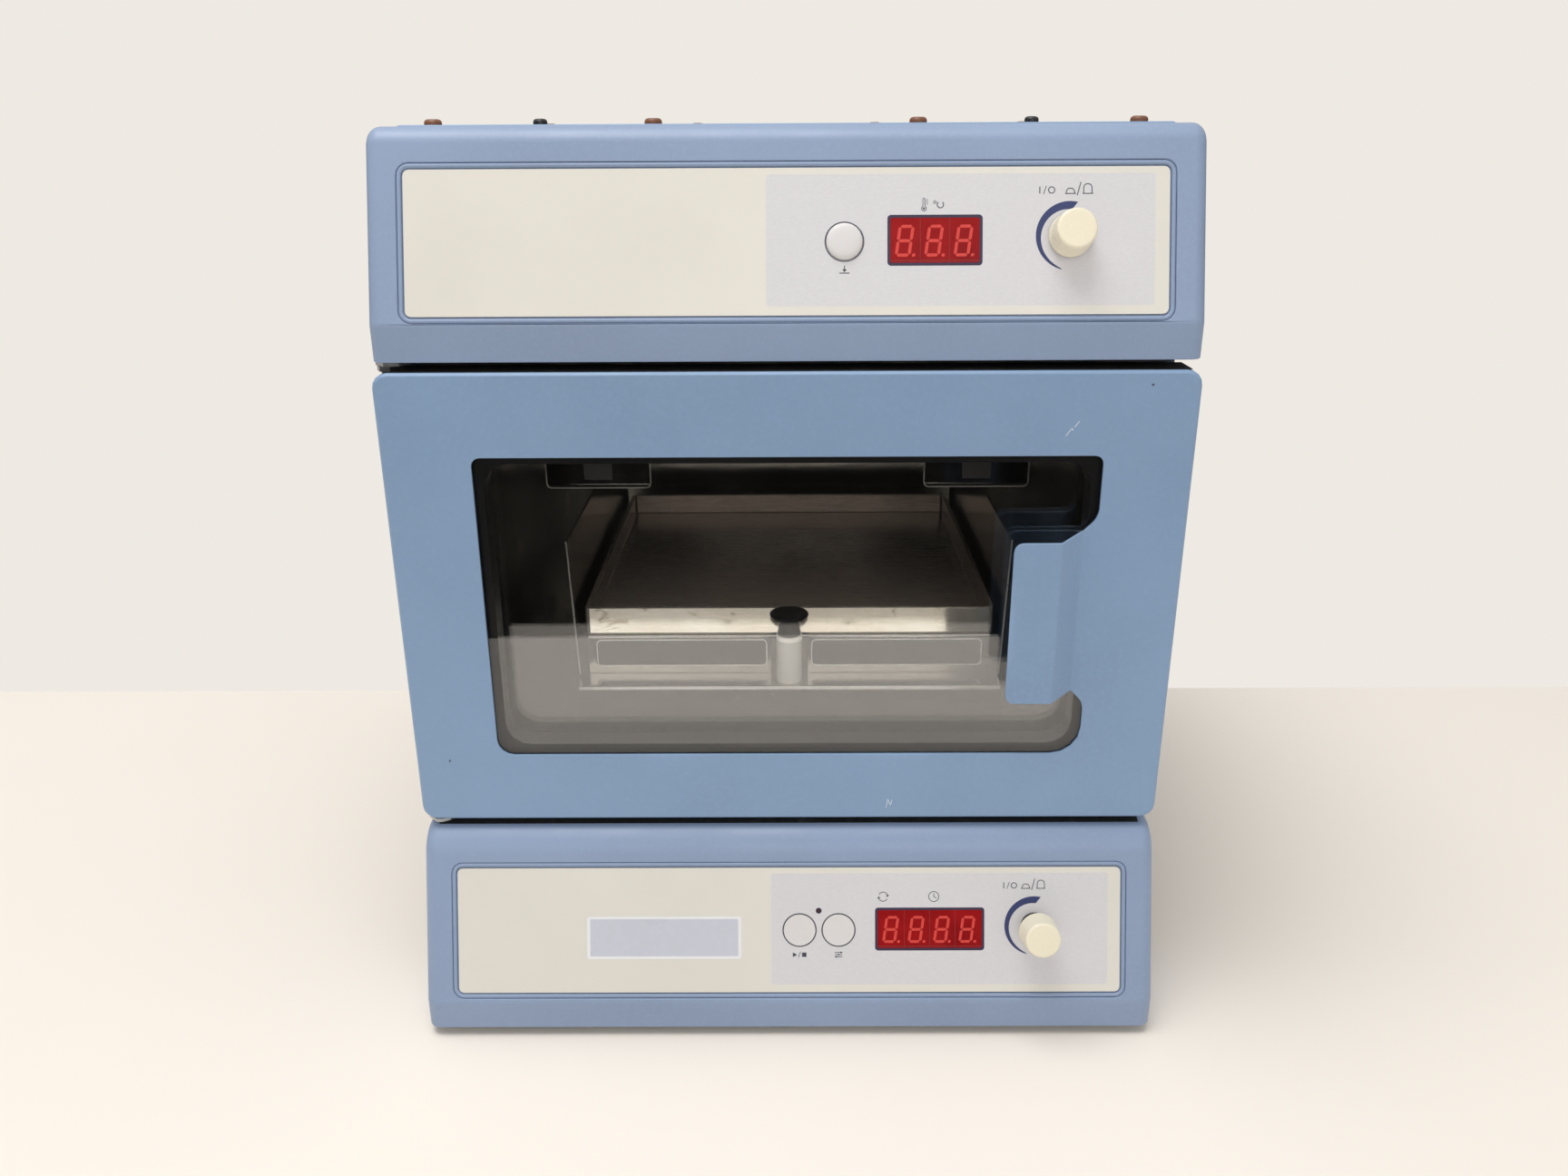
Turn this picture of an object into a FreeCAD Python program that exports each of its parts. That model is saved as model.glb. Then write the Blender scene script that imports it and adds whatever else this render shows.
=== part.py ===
import FreeCAD, Part
import math
import os

from FreeCAD import Matrix, Vector

# Microplate shaker incubator: a bench instrument in three storeys.
# The base holds the orbital drive, the middle is the heated chamber behind a
# hinged glass door, and the top holds the fans and the temperature controls.
# Millimetres. X runs to the right, Y to the rear and Z up. The origin lies on
# the bench, at the middle of the outer dimensions.

# Platform and its carriage
TRAY_INSIDE = 220.0
TRAY_WALL = 3.0
TRAY_FLOOR = 2.4
TRAY_RIM = 12.8
TRAY_CORNER = 3.0
TRAY_STAND = 22.8
TRAY_SIDE_GAP = 2.5
SUPPORT_SHEET = 1.5
SUPPORT_FORWARD = 3.0
SUPPORT_INSET = 1.5
WINDOW_GAP_LOW = 4.7
WINDOW_GAP_HIGH = 2.8
WINDOW_GAP_END = 3.5
CARRIAGE_SHEET = 1.2
CARRIAGE_HEIGHT = 32.0
CARRIAGE_FLOOR_GAP = 1.6
CARRIAGE_NOSE = 21.5
CARRIAGE_TAIL = 14.5
CARRIAGE_BEND = 2.5
SIDE_PANEL_HEIGHT = 79.0
SIDE_PANEL_FLARE = math.radians(2.0)
SIDE_PANEL_SETBACK = 14.5

# Platform lock, a sprung knob on a post
LOCK_FORWARD = 11.0
POST_RADIUS = 7.0
POST_HEIGHT = 24.0
POST_RING = 2.5
STEM_RADIUS = 5.85
STEM_BORE_GAP = 0.05
STEM_DEPTH = 14.0
CAP_RADIUS = 10.5
CAP_HEIGHT = 6.5
CAP_NECK = 6.5
CAP_GAP = 0.3
POST_FLOOR = 4.0
LOCK_RECESS_RADIUS = 10.0

# Orbital drive
ORBIT_RADIUS = 0.75
RUNNING_GAP = 0.05
SHAFT_RADIUS = 6.0
PIN_RADIUS = 4.0
CRANK_RADIUS = 5.0
CRANK_SPREAD_X = 80.0
CRANK_FRONT_Y = -70.0
CRANK_REAR_Y = 85.0
WEIGHT_THICKNESS = 4.0
WEIGHT_REACH = 34.0
WEIGHT_WIDTH = 26.0
BEARING_WIDTH = 22.0
BEARING_DEPTH = 14.0
BEARING_FLOOR = 2.0
HOUSING_WIDTH = 34.0
HOUSING_DEPTH = 32.0
BRIDGE_THICKNESS = 6.0
BRIDGE_BELOW_COVER = 6.8
BRIDGE_LEFT = 140.0
BRIDGE_RIGHT = 115.0
BRIDGE_HALF_DEPTH = 96.0
PILLAR_WIDTH = 12.0
PILLAR_INSET = 10.0
BELT_HEIGHT = 8.0
BELT_THICKNESS = 2.0
BELT_GAP = 0.3
BELT_LEVEL = 36.0
DRIVEN_RADIUS = 40.0
MOTOR_PULLEY_RADIUS = 12.0
FLANGE_LIP = 3.0
FLANGE_THICKNESS = 1.5
MOTOR_OFFSET = 105.0
MOTOR_WIDTH = 50.0
MOTOR_HEIGHT = 38.0
MOTOR_SHAFT_RADIUS = 3.0

# Storeys, from the bench up
FOOT_HEIGHT = 5.0
FOOT_RADIUS = 12.0
FOOT_SIDES = 12
FOOT_INSET_X = 30.0
FOOT_INSET_FRONT = 14.0
FOOT_INSET_REAR = 32.0
BASE_HEIGHT = 99.0
FLOOR_WALL = 10.0
CHAMBER_HEIGHT = 208.0
CEILING_WALL = 13.0
TOP_HEIGHT = 97.3
COVER_RISE = 0.7
COVER_EDGE = 2.0

# Chamber and casing, side to side and front to rear
CHAMBER_SIDE_ROOM = 34.5
CHAMBER_FRONT_ROOM = 67.5
CHAMBER_REAR_ROOM = 39.5
SIDE_WALL = 26.0
BACK_WALL = 20.0
REAR_SPACE = 1.5
LINER_SHEET = 1.0
CASING_SHEET = 1.2
CHASSIS_SHEET = 1.5
CHASSIS_FLANGE = 15.0
FLANGE_SETBACK = 30.0
BEZEL_OVERHANG = 6.5
FRAME_DEPTH = 4.5
FRAME_CORNER = 8.0
FRAME_LIP = 1.0
VENT_WIDTH = 3.0
VENT_PITCH = 9.0
VENT_LENGTH = 30.0
VENT_COUNT = 5
VENT_REAR_INSET = 40.0
VENT_DROP = 50.0
COVER_VENT_DROP = 55.0

# Front mouldings
BEZEL_WALL = 3.0
BEZEL_SIDE_RADIUS = 6.0
BAND_RADIUS = 8.0
BASE_BAND_FORWARD = 30.5
BASE_BAND_HEIGHT = 15.0
BASE_TILT = math.radians(18.0)
BASE_SHOULDER = 18.0
TOP_BAND_BACK = 3.0
TOP_BAND_HEIGHT = 16.3
TOP_TILT = math.radians(17.6)
TOP_SHOULDER = 10.0
TOP_BEZEL_DEPTH = 52.0

# Control panels, measured from the lower edge of the fascia, on its own slope
FASCIA_WIDTH = 331.0
FASCIA_HEIGHT = 63.0
FASCIA_CORNER = 2.5
FASCIA_THICKNESS = 1.2
FASCIA_SET_DOWN = 0.3
GROOVE_WIDTH = 3.0
TOP_PANEL_LOW = 3.7
BASE_PANEL_LOW = 5.2
DISPLAY_LOW = 21.4
DISPLAY_HIGH = 42.4
TOP_DISPLAY_LEFT = 44.1
TOP_DISPLAY_RIGHT = 84.5
BASE_DISPLAY_LEFT = 43.5
BASE_DISPLAY_RIGHT = 97.4
LENS_THICKNESS = 1.5
LENS_GAP = 0.15
DIGIT_PITCH = 12.7
DIGIT_GAP = 0.4
BOARD_DEPTH = 10.0
BOARD_THICKNESS = 1.6
BOARD_LEFT = -12.0
BOARD_RIGHT = 160.0
BOARD_MARGIN = 4.0
BOSS_WIDTH = 6.0
BOSS_INSET = 5.0
KNOB_X = 122.6
KNOB_UP = 33.5
KNOB_TIP_RADIUS = 8.5
KNOB_ROOT_RADIUS = 9.5
KNOB_LENGTH = 13.5
KNOB_GAP = 0.6
KNOB_TRAVEL = 9.0
KNOB_BORE_DEPTH = 9.0
SPINDLE_RADIUS = 3.0
SPINDLE_TAIL = 8.0
NECK_HALF = 4.0
NECK_GAP = 0.3
SWITCH_SIZE = 14.0
SWITCH_GAP = 1.5
BUTTON_UP = 31.5
BUTTON_RADIUS = 7.9
BUTTON_GAP = 0.25
BUTTON_DOME = 1.8
BUTTON_FLUSH = 0.1
BUTTON_TRAVEL = 0.8
SET_BUTTON_X = 25.2
COLLAR_WIDTH = 0.8
COLLAR_THICKNESS = 1.0
COLLAR_GAP = 0.1
PAD_TRAVEL = 0.4
START_BUTTON_X = 5.4
MODE_BUTTON_X = 24.9
KEY_WIDTH = 6.0

# Door
DOOR_SHEET = 1.5
DOOR_DEPTH = 20.0
DOOR_LOW_GAP = 3.5
DOOR_HIGH_GAP = 4.0
DOOR_CORNER = 7.0
DOOR_EDGE = 1.2
WINDOW_HALF_WIDTH = 142.0
WINDOW_ABOVE_DOOR_FOOT = 36.0
WINDOW_HEIGHT = 149.3
WINDOW_TOP_RADIUS = 4.0
WINDOW_LOW_LEFT_RADIUS = 8.0
WINDOW_LOW_RIGHT_RADIUS = 14.0
WINDOW_SHOULDER = 6.5
WINDOW_SHOULDER_RADIUS = 10.0
TAB_ROOT_X = 135.5
TAB_BEND_X = 124.5
TAB_END_X = 102.7
TAB_ROOT_LOW = 34.0
TAB_ROOT_HIGH = 114.0
TAB_SLOPE = 3.0
TAB_STAND = 9.0
TAB_CORNER = 4.5
PANE_THICKNESS = 3.0
PANE_OVERLAP = 9.0
PANE_GAP = 0.2
PANE_INSET = 0.5
FRAME_OPENING_INSET = 4.0
FRAME_OPENING_RADIUS = 12.0
SEAL_INSET = 22.0
SEAL_WIDTH = 6.0
SEAL_THICKNESS = 2.4
SEAL_GAP = 0.1
HINGE_INSET = 5.5
HINGE_BACK = 8.5
HINGE_PIN_RADIUS = 2.5
HINGE_SHOULDER_RADIUS = 4.5
HINGE_PLATE = 1.7
HINGE_PLATE_LENGTH = 49.0
HINGE_PLATE_BACK = 36.0
HINGE_TONGUE = 5.0

# Heating, under the ceiling and in the top storey
DUCT_X = 103.0
DUCT_WIDTH = 57.0
DUCT_SHEET = 1.0
DUCT_FRONT = 86.5
DUCT_LENGTH = 110.0
DUCT_DROP = 75.0
DUCT_BEND = 2.5
DUCT_SLOTS = 5
DUCT_SLOT_WIDTH = 6.0
DUCT_SLOT_LENGTH = 40.0
FAN_RADIUS = 23.0
FAN_HUB_RADIUS = 8.0
FAN_HUB_HEIGHT = 12.0
FAN_DROP = 20.0
FAN_BLADES = 6
FAN_BLADE_THICKNESS = 1.2
FAN_PITCH = 35.0
FAN_SHAFT_RADIUS = 2.5
FAN_MOTOR_WIDTH = 36.0
FAN_MOTOR_CAP = 3.5
FAN_MOTOR_HEIGHT = 28.0
SHAFT_HOLE_GAP = 4.5
HEATER_ABOVE_RIM = 12.0
HEATER_HEIGHT = 12.0
HEATER_LENGTH = 84.0
HEATER_BAR = 4.0
HEATER_FINS = 6
HEATER_FIN_THICKNESS = 1.0

# Corners up to this radius follow their arc in a few flats
CORNER_LIMIT = 15.0
CORNER_FLATS = 4
SMALL_CORNER = 4.0
SMALL_FLATS = 3

# Fasteners and the power inlet
SCREW_HEAD_RADIUS = 4.0
SCREW_HEAD_HEIGHT = 2.5
SCREW_SIDES = 6
PLUG_RADIUS = 3.2
PLUG_SIDES = 12
SCREW_INNER_X = 60.4
SCREW_OUTER_X = 161.0
PLUG_X = 112.0
SCREW_BEHIND_BEZEL = 8.5
SCREW_REAR_INSET = 19.0
INLET_X = -120.0
INLET_UP = 40.0
INLET_FLANGE_WIDTH = 50.0
INLET_FLANGE_HEIGHT = 24.0
INLET_PROUD = 3.0
INLET_BODY_WIDTH = 28.0
INLET_BODY_HEIGHT = 20.0
INLET_DEPTH = 18.0
INLET_CAVITY_WIDTH = 24.4
INLET_CAVITY_HEIGHT = 16.4
INLET_CAVITY_DEPTH = 15.0
INLET_CHAMFER = 5.0
INLET_PINS = ((-7, -2), (0, 2.5), (7, -2))
INLET_PIN_HALF_WIDTH = 1.0
INLET_PIN_HALF_HEIGHT = 2.0
INLET_PIN_SETBACK = 4.0
INLET_FIT = 0.2

# Heights worked out from the storeys
BASE_TOP = FOOT_HEIGHT + BASE_HEIGHT
CHAMBER_FLOOR = BASE_TOP + FLOOR_WALL
CHAMBER_CEILING = CHAMBER_FLOOR + CHAMBER_HEIGHT
TOP_BASE = CHAMBER_CEILING + CEILING_WALL
BEZEL_TOP = TOP_BASE + TOP_HEIGHT
COVER_TOP = BEZEL_TOP + COVER_RISE
DOOR_LOW = BASE_TOP + DOOR_LOW_GAP
DOOR_HIGH = TOP_BASE - DOOR_HIGH_GAP
CORE_LOW = BASE_TOP + HINGE_PLATE
CORE_HIGH = TOP_BASE - HINGE_PLATE
PLATE_TOP = CHAMBER_FLOOR + CARRIAGE_HEIGHT
PLATE_UNDERSIDE = PLATE_TOP - CARRIAGE_SHEET
TRAY_UNDERSIDE = PLATE_TOP + TRAY_STAND
TRAY_FLOOR_TOP = TRAY_UNDERSIDE + TRAY_FLOOR
TRAY_TOP = TRAY_FLOOR_TOP + TRAY_RIM
DUCT_FLOOR = CHAMBER_CEILING - DUCT_DROP

# Widths
TRAY_OUTSIDE = TRAY_INSIDE + 2 * TRAY_WALL
CARRIAGE_HALF = TRAY_OUTSIDE / 2 + TRAY_SIDE_GAP
CHAMBER_HALF = CARRIAGE_HALF + CHAMBER_SIDE_ROOM
CASING_HALF = CHAMBER_HALF + SIDE_WALL
FRONT_HALF = CASING_HALF + BEZEL_OVERHANG
CHASSIS_HALF = CASING_HALF - CASING_SHEET

# Depths, from the face of the door back and then forward to the speed knob
PANEL_LENGTH_UP = BASE_PANEL_LOW + KNOB_UP
KNOB_STAND = KNOB_GAP + KNOB_TRAVEL + KNOB_LENGTH
KNOB_REACH = KNOB_STAND * math.cos(BASE_TILT) + KNOB_TIP_RADIUS * math.sin(BASE_TILT)
FRONT_REACH = BASE_BAND_FORWARD - PANEL_LENGTH_UP * math.sin(BASE_TILT) + KNOB_REACH
DOOR_TO_CHAMBER = DOOR_DEPTH + SEAL_THICKNESS + SEAL_GAP + FRAME_DEPTH
CHAMBER_DEPTH = CHAMBER_FRONT_ROOM + TRAY_OUTSIDE + CHAMBER_REAR_ROOM
BODY_LENGTH = DOOR_TO_CHAMBER + CHAMBER_DEPTH + BACK_WALL + REAR_SPACE
TOTAL_DEPTH = FRONT_REACH + BODY_LENGTH + INLET_PROUD
DOOR_Y = FRONT_REACH - TOTAL_DEPTH / 2
FRAME_Y = DOOR_Y + DOOR_DEPTH + SEAL_THICKNESS + SEAL_GAP
CHAMBER_FRONT = DOOR_Y + DOOR_TO_CHAMBER
CHAMBER_BACK = CHAMBER_FRONT + CHAMBER_DEPTH
CORE_BACK = CHAMBER_BACK + BACK_WALL
REAR_Y = DOOR_Y + BODY_LENGTH
REAR_INSIDE = REAR_Y - CHASSIS_SHEET
TRAY_FRONT = CHAMBER_FRONT + CHAMBER_FRONT_ROOM
TRAY_BACK = TRAY_FRONT + TRAY_OUTSIDE
DRIVE_Y = (TRAY_FRONT + TRAY_BACK) / 2
LOCK_Y = TRAY_FRONT - LOCK_FORWARD
BASE_BAND_Y = DOOR_Y - BASE_BAND_FORWARD
TOP_BAND_Y = DOOR_Y + TOP_BAND_BACK
TOP_BEZEL_BACK = TOP_BAND_Y + TOP_BEZEL_DEPTH
DUCT_FRONT_Y = CHAMBER_FRONT + DUCT_FRONT
FAN_Y = DUCT_FRONT_Y + DUCT_LENGTH / 2
BRIDGE_TOP = BASE_TOP - CASING_SHEET - BRIDGE_BELOW_COVER
BRIDGE_LOW = BRIDGE_TOP - BRIDGE_THICKNESS
HINGE_X = -(FRONT_HALF - HINGE_INSET)
HINGE_Y = DOOR_Y + HINGE_BACK
CRANKS = (
    ("front_left", -CRANK_SPREAD_X, DRIVE_Y + CRANK_FRONT_Y),
    ("front_right", CRANK_SPREAD_X, DRIVE_Y + CRANK_FRONT_Y),
    ("rear", 0.0, DRIVE_Y + CRANK_REAR_Y),
)


# Basic forms

def corner_flats(radius):
    if radius > CORNER_LIMIT:
        return 0
    return SMALL_FLATS if radius < SMALL_CORNER else CORNER_FLATS


def outline(corners, flats=None):
    """Closed wire in the XY plane through (x, y, radius) corners.

    Each corner's arc is drawn in flats, or kept as an arc where flats is 0.
    """
    edges = []
    ends = []
    count = len(corners)
    for index in range(count):
        before = Vector(*corners[index - 1][:2], 0)
        point = Vector(*corners[index][:2], 0)
        after = Vector(*corners[(index + 1) % count][:2], 0)
        radius = corners[index][2]
        if radius <= 0:
            ends.append((point, point))
            continue
        back = (before - point).normalize()
        ahead = (after - point).normalize()
        half = back.getAngle(ahead) / 2
        setback = radius / math.tan(half)
        inward = (back + ahead).normalize()
        start = point + back * setback
        middle = point + inward * (radius / math.sin(half) - radius)
        end = point + ahead * setback
        arc = Part.Arc(start, middle, end).toShape()
        pieces = corner_flats(radius) if flats is None else flats
        if pieces:
            marks = [start] + arc.discretize(Number=pieces + 1)[1:-1] + [end]
            if (marks[1] - start).Length > (marks[-2] - start).Length:
                marks[1:-1] = marks[-2:0:-1]
            for first, second in zip(marks, marks[1:]):
                edges.append(Part.LineSegment(first, second).toShape())
        else:
            edges.append(arc)
        ends.append((start, end))
    for index in range(count):
        start = ends[index - 1][1]
        end = ends[index][0]
        if (end - start).Length > 1e-6:
            edges.append(Part.LineSegment(start, end).toShape())
    return Part.Wire(Part.__sortEdges__(edges))


def prism(corners, low, high, flats=None):
    """Solid with the outline's shape, standing on the XY plane."""
    face = Part.Face(outline(corners, flats))
    face.translate(Vector(0, 0, low))
    return face.extrude(Vector(0, 0, high - low))


def rectangle(x0, x1, y0, y1, radius=0.0):
    return ((x0, y0, radius), (x1, y0, radius), (x1, y1, radius), (x0, y1, radius))


def polygon(radius, sides):
    turn = 2 * math.pi / sides
    return [(radius * math.cos(i * turn), radius * math.sin(i * turn), 0) for i in range(sides)]


def block(x0, x1, y0, y1, z0, z1):
    return Part.makeBox(x1 - x0, y1 - y0, z1 - z0, Vector(x0, y0, z0))


def rod(x, y, z0, z1, radius):
    return Part.makeCylinder(radius, z1 - z0, Vector(x, y, z0))


def tube(x, y, z0, z1, outer, inner):
    return rod(x, y, z0, z1, outer).cut(rod(x, y, z0 - 1, z1 + 1, inner))


def lathe(corners):
    """Solid of revolution about Z from (radius, height, bevel) corners."""
    face = Part.Face(outline(corners, 1))
    face.rotate(Vector(0, 0, 0), Vector(1, 0, 0), 90)
    return face.revolve(Vector(0, 0, 0), Vector(0, 0, 1), 360)


def moved(shape, x=0.0, y=0.0, z=0.0):
    copy = shape.copy()
    copy.translate(Vector(x, y, z))
    return copy


def mirrored(shape):
    return shape.mirror(Vector(0, 0, 0), Vector(1, 0, 0))


def join(shapes):
    first, *others = shapes
    return first.fuse(others).removeSplitter() if others else first


def cut(shape, tools):
    return shape.cut(list(tools))


def across(shape):
    """Turn a form drawn in XY so that it shows (Y, Z) and its height runs along X."""
    turned = shape.copy()
    turned.transformShape(Matrix(0, 0, 1, 0, 1, 0, 0, 0, 0, 1, 0, 0, 0, 0, 0, 1))
    return turned


def on_face(shape, y, z, tilt=0.0):
    """Set a form drawn in XY on a front face that leans back by tilt, height outwards."""
    s, c = math.sin(tilt), math.cos(tilt)
    turned = shape.copy()
    turned.transformShape(Matrix(1, 0, 0, 0, 0, s, -c, y, 0, c, s, z, 0, 0, 0, 1))
    return turned


def soften(shape, radius, chosen):
    """Fillet the edges for which chosen(edge) holds."""
    return shape.makeFillet(radius, [edge for edge in shape.Edges if chosen(edge)])


def save(name, *solids):
    shape = solids[0] if len(solids) == 1 else Part.makeCompound(list(solids))
    shape.exportStep("parts/" + name + ".step")


# Front mouldings

def bezel_profile(band_y, low, high, back, band_height, tilt, shoulder, inset):
    """Side view of a front moulding as (Y, Z) corners, set in by inset."""
    lean = math.tan(tilt)
    slope_start = band_y + inset / math.cos(tilt)
    corner_z = low + band_height
    knee_z = corner_z + (band_y + inset - slope_start) / lean
    top = high - inset
    crest_y = slope_start + (top - corner_z) * lean
    foot = low if inset == 0 else low - 1
    rear = back if inset == 0 else back + 1
    return (
        (band_y + inset, foot, 0),
        (band_y + inset, knee_z, BAND_RADIUS - inset),
        (crest_y, top, shoulder - inset),
        (rear, top, 0),
        (rear, foot, 0),
    )


def bezel(band_y, low, high, back, band_height, tilt, shoulder):
    """Hollow moulding, open at the rear and below, with softened cheeks."""
    measures = (band_y, low, high, back, band_height, tilt, shoulder)
    body = across(prism(bezel_profile(*measures, 0), -FRONT_HALF, FRONT_HALF, 0))

    def is_cheek_edge(edge):
        box = edge.BoundBox
        on_side = box.XLength < 1e-6
        return on_side and box.YMin < back - 1 and box.ZMax > low + 1 and not (
            abs(box.YMin - back) < 1e-6
        )

    body = soften(body, BEZEL_SIDE_RADIUS, is_cheek_edge)
    inner_half = FRONT_HALF - BEZEL_WALL
    hollow = across(prism(bezel_profile(*measures, BEZEL_WALL), -inner_half, inner_half))
    return body.cut(hollow)


class Panel:
    """A fascia's own frame: x, height up the slope, and depth out of it."""

    def __init__(self, band_y, corner_z, tilt, low):
        self.y = band_y + low * math.sin(tilt)
        self.z = corner_z + low * math.cos(tilt)
        self.tilt = tilt

    def put(self, shape):
        return on_face(shape, self.y, self.z, self.tilt)


TOP_PANEL = Panel(TOP_BAND_Y, TOP_BASE + TOP_BAND_HEIGHT, TOP_TILT, TOP_PANEL_LOW)
BASE_PANEL = Panel(BASE_BAND_Y, FOOT_HEIGHT + BASE_BAND_HEIGHT, BASE_TILT, BASE_PANEL_LOW)
POCKET_DEPTH = FASCIA_THICKNESS + FASCIA_SET_DOWN
FASCIA_HALF = FASCIA_WIDTH / 2
BOARD_LOW = BOARD_MARGIN
BOARD_HIGH = FASCIA_HEIGHT - BOARD_MARGIN


def display_window(left, right, grow, low, high):
    return prism(
        rectangle(left - grow, right + grow, DISPLAY_LOW - grow, DISPLAY_HIGH + grow, 1.0),
        low, high,
    )


def square_on_knob(half, low, high):
    return block(KNOB_X - half, KNOB_X + half, KNOB_UP - half, KNOB_UP + half, low, high)


def fascia_openings(display, buttons):
    """Everything that passes through a fascia."""
    low = -POCKET_DEPTH - 1
    tools = [display_window(*display, 0.0, low, 1), square_on_knob(NECK_HALF + NECK_GAP, low, 1)]
    for x in buttons:
        tools.append(rod(x, BUTTON_UP, low, 1, BUTTON_RADIUS + BUTTON_GAP))
    return tools


def moulding_openings(display, buttons):
    """Larger cut-outs behind the fascia's own."""
    low = -BEZEL_WALL - 1
    key = BUTTON_RADIUS + COLLAR_WIDTH + 0.5
    return [
        display_window(*display, 0.0, low, 0),
        square_on_knob(NECK_HALF + 1.5, low, 0),
        block(min(buttons) - key, max(buttons) + key, BUTTON_UP - key, BUTTON_UP + key, low, 0),
    ]


def board_corners():
    for x in (BOARD_LEFT + BOSS_INSET, BOARD_RIGHT - BOSS_INSET):
        for y in (BOARD_LOW + BOSS_INSET, BOARD_HIGH - BOSS_INSET):
            yield x, y


def finished_bezel(moulding, panel, display, buttons):
    pocket = prism(
        rectangle(
            -FASCIA_HALF - GROOVE_WIDTH, FASCIA_HALF + GROOVE_WIDTH,
            -GROOVE_WIDTH, FASCIA_HEIGHT + GROOVE_WIDTH, FASCIA_CORNER + GROOVE_WIDTH,
        ),
        -POCKET_DEPTH, BEZEL_WALL,
    )
    through = moulding_openings(display, buttons)
    half = BOSS_WIDTH / 2
    bosses = [
        panel.put(block(x - half, x + half, y - half, y + half, -BOARD_DEPTH, -BEZEL_WALL + 0.5))
        for x, y in board_corners()
    ]
    pierced = cut(moulding, [panel.put(tool) for tool in [pocket] + through])
    return join([pierced] + bosses)


def fascia(panel, display, buttons):
    sheet = prism(
        rectangle(-FASCIA_HALF, FASCIA_HALF, 0, FASCIA_HEIGHT, FASCIA_CORNER),
        -POCKET_DEPTH, -FASCIA_SET_DOWN,
    )
    return panel.put(cut(sheet, fascia_openings(display, buttons)))


def digit_module(panel, display, count):
    """Display block behind the lens, seated on the board."""
    middle = sum(display) / 2
    half = count * DIGIT_PITCH / 2
    return panel.put(block(
        middle - half, middle + half, DISPLAY_LOW + 1, DISPLAY_HIGH - 1,
        -BOARD_DEPTH, -FASCIA_SET_DOWN - LENS_THICKNESS - DIGIT_GAP,
    ))


def lens(panel, display):
    return panel.put(display_window(
        *display, -LENS_GAP, -FASCIA_SET_DOWN - LENS_THICKNESS, -FASCIA_SET_DOWN
    ))


def key_top(travel):
    """Level of a key's plunger, one travel below its button."""
    return -POCKET_DEPTH - 2 * COLLAR_GAP - COLLAR_THICKNESS - travel


def control_board(panel, buttons, travel):
    board = block(
        BOARD_LEFT, BOARD_RIGHT, BOARD_LOW, BOARD_HIGH, -BOARD_DEPTH - BOARD_THICKNESS, -BOARD_DEPTH
    )
    hole = square_on_knob(NECK_HALF, -BOARD_DEPTH - 2 * BOARD_THICKNESS, 0)
    half = KEY_WIDTH / 2
    keys = [
        block(x - half, x + half, BUTTON_UP - half, BUTTON_UP + half, -BOARD_DEPTH, key_top(travel))
        for x in buttons
    ]
    return panel.put(join([board.cut(hole)] + keys))


def push_switch(panel):
    """Push switch on the board; its square neck keeps it from turning in the panel."""
    shoulder = -BEZEL_WALL - SWITCH_GAP
    body = square_on_knob(SWITCH_SIZE / 2, -BOARD_DEPTH, shoulder)
    neck = square_on_knob(NECK_HALF, shoulder - 1, -FASCIA_SET_DOWN)
    bore = rod(KNOB_X, KNOB_UP, -BOARD_DEPTH - 1, 1, SPINDLE_RADIUS + RUNNING_GAP)
    return panel.put(join([body, neck]).cut(bore))


def spindle(panel, popped):
    """Shaft of a control, from behind the bush to inside its knob."""
    shift = KNOB_TRAVEL if popped else 0.0
    tip = KNOB_GAP + KNOB_BORE_DEPTH - 0.5 + shift
    tail = -SPINDLE_TAIL - KNOB_TRAVEL + shift
    return panel.put(rod(KNOB_X, KNOB_UP, tail, tip, SPINDLE_RADIUS))


def knob(panel, popped):
    foot = KNOB_GAP + (KNOB_TRAVEL if popped else 0.0)
    bore = SPINDLE_RADIUS + RUNNING_GAP
    corners = (
        (bore, foot, 0), (KNOB_ROOT_RADIUS, foot, 0),
        (KNOB_TIP_RADIUS, foot + KNOB_LENGTH, 0), (0, foot + KNOB_LENGTH, 0),
        (0, foot + KNOB_BORE_DEPTH, 0), (bore, foot + KNOB_BORE_DEPTH, 0),
    )
    return panel.put(moved(lathe(corners), KNOB_X, KNOB_UP))


def button(panel, x, dome):
    """Push cap held by a square collar behind the fascia, which stops it turning."""
    high = -POCKET_DEPTH - COLLAR_GAP
    low = high - COLLAR_THICKNESS
    half = BUTTON_RADIUS + COLLAR_WIDTH
    collar = block(x - half, x + half, BUTTON_UP - half, BUTTON_UP + half, low, high)
    face = -FASCIA_SET_DOWN
    if dome > BUTTON_FLUSH:
        cap = moved(lathe((
            (0, high - 0.5, 0), (BUTTON_RADIUS, high - 0.5, 0), (BUTTON_RADIUS, face + dome / 2, 0),
            (BUTTON_RADIUS * 0.7, face + dome, 0), (0, face + dome, 0),
        )), x, BUTTON_UP)
    else:
        cap = rod(x, BUTTON_UP, high - 0.5, face + dome, BUTTON_RADIUS)
    return panel.put(join([collar, cap]))


# Base storey

def vent_row(x0, y_of, count):
    """Tools for a row of upright slots; y_of gives each slot's start along Y."""
    return [
        block(x0 - 3, x0 + 3, y_of(i), y_of(i) + VENT_WIDTH, 0, VENT_LENGTH)
        for i in range(count)
    ]


def feet():
    foot = prism(polygon(FOOT_RADIUS, FOOT_SIDES), 0, FOOT_HEIGHT)
    half = CASING_HALF - FOOT_INSET_X
    ends = (CHAMBER_FRONT - FOOT_INSET_FRONT, REAR_Y - FOOT_INSET_REAR)
    return [moved(foot, x, y) for x in (-half, half) for y in ends]


def rear_panel(low, high):
    return block(-CASING_HALF, CASING_HALF, REAR_INSIDE, REAR_Y, low, high)


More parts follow.
